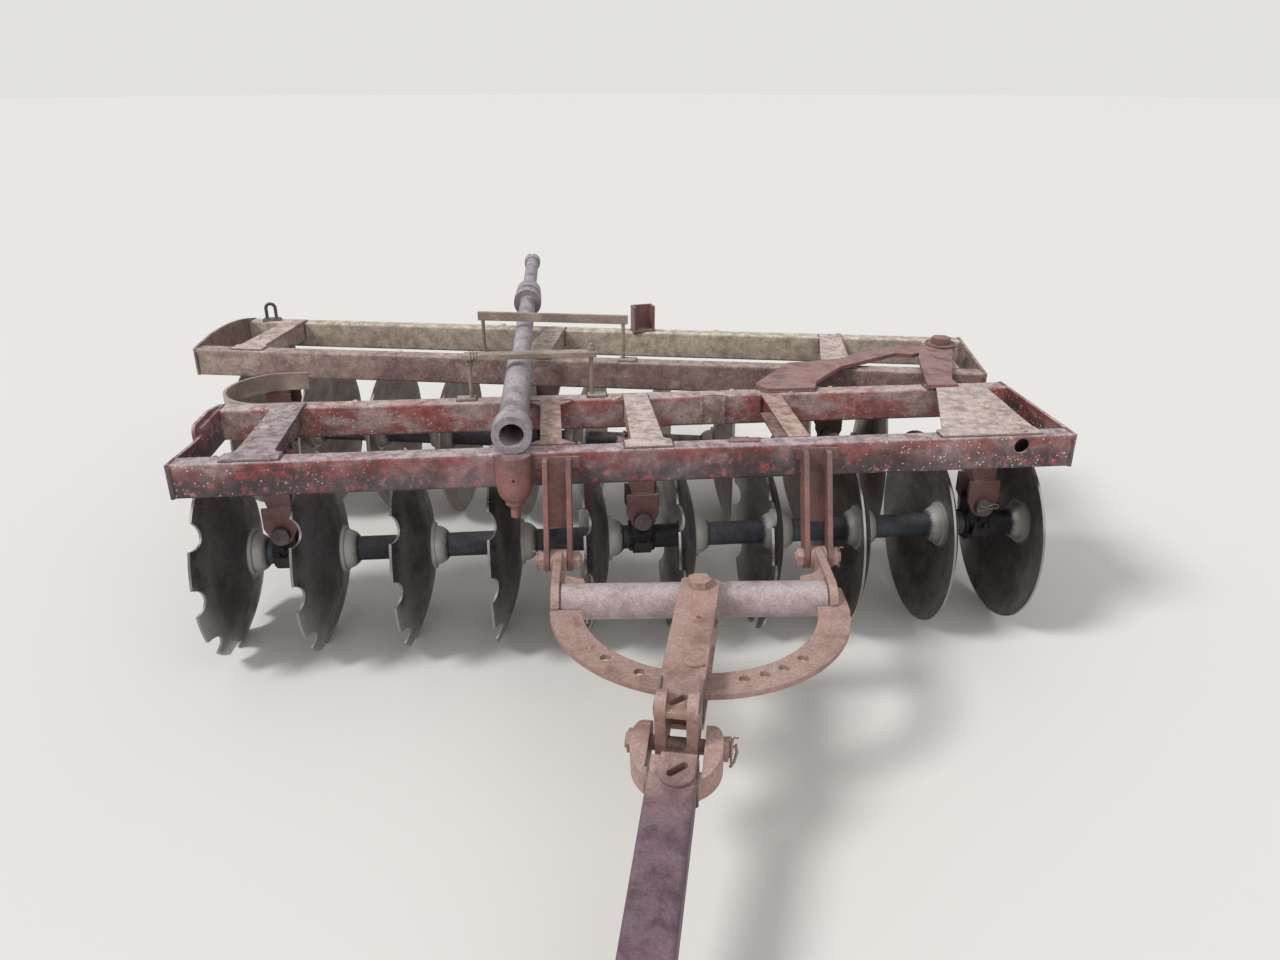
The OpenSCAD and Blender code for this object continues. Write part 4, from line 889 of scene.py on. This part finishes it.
class HARROW_OT_stage(bpy.types.Operator):
    """Set up the camera, the pale floor and the soft studio light"""
    bl_idname = "harrow.stage"
    bl_label = "Stage"

    def execute(self, context):
        scene = context.scene
        scene.view_settings.view_transform = "Standard"
        self.camera(scene)
        self.floor()
        self.lights()
        self.world(scene)
        return {"FINISHED"}

    def camera(self, scene):
        """Camera at a standing person's eye, over the drawbar."""
        data = bpy.data.cameras.new("harrow_camera")
        data.sensor_width = 36.0
        data.lens = 27.0
        data.clip_end = 200.0
        scene.camera = added("harrow_camera", data)
        centre = AXES["front_frame"].translation
        scene.camera.location = (centre.x + 0.026, centre.y - 2.704, 1.675)
        scene.camera.rotation_euler = (math.radians(90.0 - 23.49), 0.0, 0.0)

    def floor(self):
        bm = bmesh.new()
        bmesh.ops.create_circle(bm, cap_ends=True, segments=64, radius=60.0)
        floor = meshed("floor", bm)
        net, surface = start_material("pale_floor")
        surface.inputs["Base Color"].default_value = shade(222, 220, 216)
        surface.inputs["Roughness"].default_value = 0.9
        floor.data.materials.append(MATERIALS["pale_floor"])

    def lights(self):
        for name, strength, angle, tip, turn in (
                ("key_light", 2.1, 16, 46, -62), ("fill_light", 0.75, 60, 50, 28)):
            data = bpy.data.lights.new(name, "SUN")
            data.energy = strength
            data.angle = math.radians(angle)
            added(name, data).rotation_euler = (math.radians(tip), 0.0, math.radians(turn))

    def world(self, scene):
        """Even white light, and a pale backdrop that only the camera sees."""
        world = bpy.data.worlds.new("studio")
        world.use_nodes = True
        scene.world = world
        net = Net(world.node_tree)
        light = world.node_tree.nodes["Background"]
        light.inputs["Color"].default_value = (1.0, 1.0, 1.0, 1.0)
        light.inputs["Strength"].default_value = 0.5
        seen = net.node("Background", {"Color": shade(226, 225, 222), "Strength": 1.0})[0]
        mixed = net.node("MixShader", {0: net.node("LightPath")["Is Camera Ray"],
                                       1: light.outputs[0], 2: seen})[0]
        net.feed(world.node_tree.nodes["World Output"].inputs["Surface"], mixed)


class HARROW_OT_finishes(bpy.types.Operator):
    """Paint, rust and wear every solid of the harrow"""
    bl_idname = "harrow.finishes"
    bl_label = "Finishes"

    def execute(self, context):
        build_materials()
        for name, nodes in CAD_FINISH.items():
            for node in nodes.split():
                slots = NODES[node].data.materials
                slots.clear()
                slots.append(MATERIALS[name])
        return {"FINISHED"}


class HARROW_OT_front_welds(bpy.types.Operator):
    """Lay the weld beads of the front frame, its ears and its hinge bracket"""
    bl_idname = "harrow.front_welds"
    bl_label = "Front frame welds"

    def execute(self, context):
        lines = cover_beads(FRONT_RAILS, FRONT_COVERS, FRONT_FACES)
        lines += end_beads(FRONT_END, FRONT_FACES) + hanger_beads(FRONT_RAILS, 1)
        # Feet of the hinge bracket's plates on the second beam
        lines += [flat(TOP_BEAD, (428, 246), (455, 203), (614, 203), (632, 246)),
                  flat(TOP_BEAD, (984, 246), (984, 192), (1086, 192), (1088, 246))]
        # Jack socket on the front beam's face
        face, behind = FRONT_FACES[0], FRONT_FACES[3] + 1
        for side in (-1, 1):
            lines.append([(SPINDLE_U + side * 50, face, 698), (SPINDLE_U + side * 50, face, 624),
                          (SPINDLE_U + side * 44, face, 604)])
        # Corner gussets of the left channel, and the right channel's ends
        for x, y in product((-1, 1), (-1, 1)):
            lines.append(flat(FRAME_TOP - 1, (CHANNELS[0] + x * 31, y * 189),
                              (CHANNELS[0] + x * 70, y * 189)))
        for side, d in product((-1, 1), FRONT_FACES[1:3]):
            lines.append(upright(CHANNELS[1] + side * 31, d, 634, 696))
        # Strap on the second beam's rear face
        lines += [flat(695, (-1128, behind), (-952, behind)), upright(-950, behind, 690, 640)]
        feet = [box_line(-531, -473, 207, 245), box_line(-120, -62, 207, 245),
                box_line(-380, -310, 205, 235)]
        eye = [p + Vector((*HINGE, 736)) for p in circle(52, 40)]
        weld("front_weld_beads", "front_frame", 10, lines, feet + [eye])

        # Both sides of the ears' plates, then of the pads beside them
        lines = [upright(x, ear_face(x) - 1, low - EAR_PIN_Z, high - EAR_PIN_Z)
                 for sides, low, high in (
                     ((-400, -386, -336, -322, 322, 336, 386, 400), BEAM_Z + 10, FRAME_TOP - 18),
                     ((-423, -299, 299, 423), 654, 688)) for x in sides]
        weld("ear_weld_beads", "front_frame", 900, lines, axes="hitch_frame")
        return {"FINISHED"}


class HARROW_OT_rear_welds(bpy.types.Operator):
    """Lay the weld beads of the rear frame"""
    bl_idname = "harrow.rear_welds"
    bl_label = "Rear frame welds"

    def execute(self, context):
        lines = cover_beads(REAR_RAILS, REAR_COVERS, REAR_FACES)
        lines += end_beads(REAR_END, REAR_FACES) + hanger_beads(REAR_RAILS, -1)
        feet = [box_line(-375, -317, -229, -191), box_line(162, 220, -229, -191)]
        # Turned feet of the post bracket and of the shackle
        for u, turn, x, y in ((200, 24, 42, 25), (-1338.5, 20, 33, 17)):
            feet.append([at(u, 210, TOP_BEAD) @ spin(turn, "Z") @ Vector(p)
                         for p in box_line(-x, x, -y, y, 0)])
        weld("rear_weld_beads", "rear_frame", 2000, lines, feet)
        return {"FINISHED"}


class HARROW_OT_hitch_welds(bpy.types.Operator):
    """Lay the weld beads of the hitch, of its head and of the drawbar"""
    bl_idname = "harrow.hitch_welds"
    bl_label = "Hitch welds"

    def execute(self, context):
        rings = [[TUBE + Vector((x, p.x, p.y)) for p in circle(48, 48)] for x in (-350, 350)]
        lines = []
        # The head pin's sleeve on the tube's front
        middle, front, radius = SLEEVE
        for side in (-1, 1):
            line = []
            for y in range(-190, -235, -5):
                x = middle + side * math.sqrt(max(0.0, radius ** 2 - (y - front) ** 2))
                line.append((x, y, TUBE.z + math.sqrt(TUBE_R ** 2 - (y - TUBE.y) ** 2)))
            lines.append(line)
        # The quadrant's ends on the cheeks' noses
        for x, z in product((-EARS, EARS), (-18, -32)):
            lines.append(flat(z, (x - 11, -236), (x + 11, -236)))
        weld("hitch_weld_beads", "hitch_frame", 3000, lines, rings)

        lines = []
        for x in (-46, 46):
            lines += [flat(HEAD_TOP + 0.5, (x, -412), (x, -530)), upright(x, -410, -52, 50)]
        weld("head_weld_beads", "drawbar_head", 3100, lines)

        lines = []
        for x in (-52, 52):
            lines += [[(x, -93, 31), (x, -130, 26)], [(x, -93, -37), (x, -130, -34)],
                      upright(x, -131, -33, 25)]
        eye = [(x, -1483, z) for x, z in ((-37, -20), (37, -20), (37, 20), (-37, 20))]
        weld("drawbar_weld_beads", "drawbar", 3200, lines, [eye])
        return {"FINISHED"}


class HARROW_OT_frame_bolts(bpy.types.Operator):
    """Set the bolts of the hangers, bearings and strap, and the split pins"""
    bl_idname = "harrow.frame_bolts"
    bl_label = "Frame bolts"

    def execute(self, context):
        across, wire = fastenings().across / MM, fastenings().clip_wire / MM
        down, back, slanted = (facing(way) for way in ((0, 0, -1), (0, 1, 0), (0, -0.8, 0.6)))
        for side, rails in SIDES:
            body = side + "_frame"
            bm = bmesh.new()
            for u, x, d in product(rails, *HEAD_BOLTS):
                bolt(bm, at(u + x, d, RAIL_Z), across)
                hexagon(bm, at(u + x, d, RAIL_Z - HEAD_PLATE) @ down, across, 9)
            for u in rails:
                cotter(bm, at(u, 64, HANGER_PIN_Z) @ spin(90, "Y"), 15, wire)
                washer(bm, at(u, 50.5, HANGER_PIN_Z) @ back, 46, 4)
            finished(side + "_hanger_bolts", bm, body, "pin_steel")

            bm = bmesh.new()
            for u in rails:
                for x, d in product(*FLANGE_BOLTS):
                    bolt(bm, at(u + x, d, GANG_Z + FLANGE), 16, 4)
                    hexagon(bm, at(u + x, d, GANG_Z - FLANGE) @ down, 16, 8)
                # Grease nipple on the housing's front
                washer(bm, at(u, -50, GANG_Z + 30) @ slanted, 12, 6, 6)
                washer(bm, at(u, -54, GANG_Z + 33) @ slanted, 7, 6, 10)
            finished(side + "_bearing_bolts", bm, body, "grease")

        # Strap's bolts, and the split pin over the hinge's nut
        bm = bmesh.new()
        for u in (-1060, -1000):
            bolt(bm, at(u, 260, 665) @ back, across)
        cotter(bm, at(*HINGE, 752), 16, wire)
        finished("front_small_bolts", bm, "front_frame", "pin_steel")

        # Spring clip in the right hanger's pin
        bm = bmesh.new()
        loop = [(33 + 8 * math.sin(a), 9 - 8 * math.cos(a)) for a in (0.3, 1.0, 1.7, 2.4)]
        clip = [(-24, -5), (26, 4), *loop, (24, 16), (12, 12), (2, 5), (-8, 8), (-16, 16)]
        pin = Vector((FRONT_RAILS[2], -75, HANGER_PIN_Z))
        sweep(bm, [pin + Vector((x, 0, z)) for x, z in clip], wire * 0.9, 8)
        finished("spring_clip", bm, "front_frame", "bright_wire")
        return {"FINISHED"}


class HARROW_OT_hitch_pins(bpy.types.Operator):
    """Set the washers, split pins and the bent pin handle of the hitch"""
    bl_idname = "harrow.hitch_pins"
    bl_label = "Hitch pins"

    def execute(self, context):
        wire = fastenings().clip_wire / MM
        bm = bmesh.new()
        for side in (-1, 1):
            out = facing((side, 0, 0))
            washer(bm, at(side * EARS_FACE, 0, 0) @ out, 54, 5)
            hexagon(bm, at(side * (EARS_FACE + 5), 0, 0) @ out, 48, 12)
            cotter(bm, at(side * (EARS_FACE + 21), 0, 0) @ spin(70, "X") @ spin(90, "Z"), 17,
                   wire)
        finished("ear_pin_nuts", bm, "front_frame", "even_rust", "hitch_frame")

        # Teardrop lug and a small nut on the head's upper plate
        bm = bmesh.new()
        slab(bm, at(19, -360, HEAD_TOP), [(26, 0), (12, 9), (-4, 12), (-15, 8), (-19, 0),
                                          (-15, -8), (-4, -12), (12, -9)], 7, 2.5)
        bolt(bm, at(-22, 20, HEAD_TOP), 19, 3)
        finished("head_small_pieces", bm, "drawbar_head", "even_rust")

        # Bent handle of the knuckle pin, beside the right cheek
        bm = bmesh.new()
        sweep(bm, [(117, 2, 4), (124, 4, 12), (127, 2, -8), (122, -8, -28), (114, -14, -40)],
              3.5, 10)
        washer(bm, at(115, 0, 0) @ facing((1, 0, 0)), 44, 3)
        cotter(bm, at(115.5, 0, 0) @ spin(40, "X") @ spin(90, "Z"), 17, wire)
        finished("knuckle_pin_handle", bm, "drawbar", "even_rust")
        return {"FINISHED"}


class HARROW_OT_patches(bpy.types.Operator):
    """Add the repair patches, the clip plate and the hoop's wire"""
    bl_idname = "harrow.patches"
    bl_label = "Patches and wire"

    def execute(self, context):
        bm = bmesh.new()
        slab(bm, at(301, -209, FRAME_TOP), [(-46, -12), (40, -16), (48, 9), (-38, 14)], 5, 1.5)
        finished("clip_plate", bm, "front_frame", "bracket_red")

        # Welded splice on the second beam's front face, folded over its top
        bm = bmesh.new()
        slab(bm, at(SPLICE_U, FRONT_FACES[2], 651) @ facing((0, -1, 0)),
             [(-38, -45), (36, -48), (39, 47), (-35, 48)], 3, 1)
        slab(bm, at(SPLICE_U, 208, FRAME_TOP), [(-38, -18), (38, -18), (33, 8), (-30, 14)], 3, 1)
        make_beads(bm, 4000, [[(239, 188, 603), (242, 186, 652), (240, 188, 699), (245, 208, 702)],
                              [(316, 188, 602), (314, 186, 650), (317, 188, 699),
                               (311, 204, 702)]])
        finished("beam_splice", bm, "front_frame", "clay_crust")

        # Drain hole in the jack socket
        bm = bmesh.new()
        washer(bm, at(SPINDLE_U, -299.5, 640) @ facing((0, -1, 0)), 9, 1.4, 12)
        finished("socket_hole", bm, "front_frame", "grease")

        # Wire wound over the spindle hoop's left leg, its tail, and its turns round the leg
        bm = bmesh.new()
        angles = [math.tau * k / 12 for k in range(38)]
        over = [HOOP_LEG + Vector((9 * a / math.tau, 24 * math.cos(a), 12.5 * math.sin(a)))
                for a in angles]
        tail = [HOOP_LEG + Vector(p) for p in ((16, 21, -14), (8, 26, -28), (-4, 24, -36))]
        wrap = [HOOP_LEG + Vector((9.5 * math.cos(a), 9.5 * math.sin(a), 1.05 * a - 28))
                for a in angles[:34]]
        for line in (over, over[-1:] + tail, wrap):
            sweep(bm, line, fastenings().clip_wire / MM)
        finished("hoop_wire", bm, "front_frame", "tan_bar")
        return {"FINISHED"}


class HARROW_OT_clods(bpy.types.Operator):
    """Scatter dry clods on the cross members and beams, and grease on the bearings"""
    bl_idname = "harrow.clods"
    bl_label = "Clods and grease"

    def scatter(self, bm, draw, rails, beams, count):
        """Clods on the rails' covers and on the beams' tops."""
        for k in range(count):
            if draw.random() < 0.6:
                u = draw.choice(rails) + draw.uniform(-34, 34)
                d, top = draw.uniform(-150, 200), COVER_TOP
            else:
                u = draw.uniform(-1150, 1150)
                d, top = draw.choice(beams) + draw.uniform(-22, 22), FRAME_TOP
            wide = draw.choice((3, 4, 5, 6, 9, 13))
            clod(bm, at(u, d, top), (wide, wide * draw.uniform(0.6, 1.0),
                                     wide * draw.uniform(0.25, 0.5)), draw)

    def grease(self, bm, draw, rails):
        """Lumps of grease round both ends of the bearing housings."""
        for u, k in product(rails, range(26)):
            side = draw.choice((-1, 1))
            a = draw.uniform(-0.4, math.pi + 0.4)
            r = draw.uniform(43, 50)
            clod(bm, at(u + side * draw.uniform(27, 38), r * math.cos(a),
                        GANG_Z + r * math.sin(a)),
                 (draw.uniform(4, 10), draw.uniform(4, 9), draw.uniform(4, 8)), draw)

    def execute(self, context):
        draw = random.Random(41)
        count = fastenings().clods
        counts = (count // 2, count - count // 2)
        for (side, rails), beams, clods in zip(SIDES, CLOD_BEAMS, counts):
            bm = bmesh.new()
            self.scatter(bm, draw, rails, beams, clods)
            finished(side + "_clods", bm, side + "_frame", "clay_lump")
        for side, rails in SIDES:
            bm = bmesh.new()
            self.grease(bm, draw, rails)
            finished(side + "_bearing_grease", bm, side + "_frame", "grease")
        return {"FINISHED"}


class HARROW_PT_panel(bpy.types.Panel):
    """Colours, sizes and steps of the harrow's looks"""
    bl_label = "Disc harrow"
    bl_space_type = "VIEW_3D"
    bl_region_type = "UI"
    bl_category = "Harrow"

    def draw(self, context):
        for settings in (finish(), fastenings()):
            box = self.layout.box()
            for key in settings.__annotations__:
                box.prop(settings, key)
        for operator in OPERATORS:
            self.layout.operator(operator.bl_idname)


OPERATORS = (HARROW_OT_stage, HARROW_OT_finishes, HARROW_OT_front_welds, HARROW_OT_rear_welds,
             HARROW_OT_hitch_welds, HARROW_OT_frame_bolts, HARROW_OT_hitch_pins,
             HARROW_OT_patches, HARROW_OT_clods)
CLASSES = (HarrowFinish, HarrowFastenings) + OPERATORS + (HARROW_PT_panel,)


def register():
    for cls in CLASSES:
        bpy.utils.register_class(cls)
    bpy.types.Scene.harrow_finish = bpy.props.PointerProperty(type=HarrowFinish)
    bpy.types.Scene.harrow_fastenings = bpy.props.PointerProperty(type=HarrowFastenings)


def unregister():
    del bpy.types.Scene.harrow_fastenings
    del bpy.types.Scene.harrow_finish
    for cls in reversed(CLASSES):
        bpy.utils.unregister_class(cls)


def main():
    """Registers the add-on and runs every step."""
    register()
    bpy.ops.harrow.stage()
    bpy.ops.harrow.finishes()
    bpy.ops.harrow.front_welds()
    bpy.ops.harrow.rear_welds()
    bpy.ops.harrow.hitch_welds()
    bpy.ops.harrow.frame_bolts()
    bpy.ops.harrow.hitch_pins()
    bpy.ops.harrow.patches()
    bpy.ops.harrow.clods()


if __name__ == "__main__":
    main()
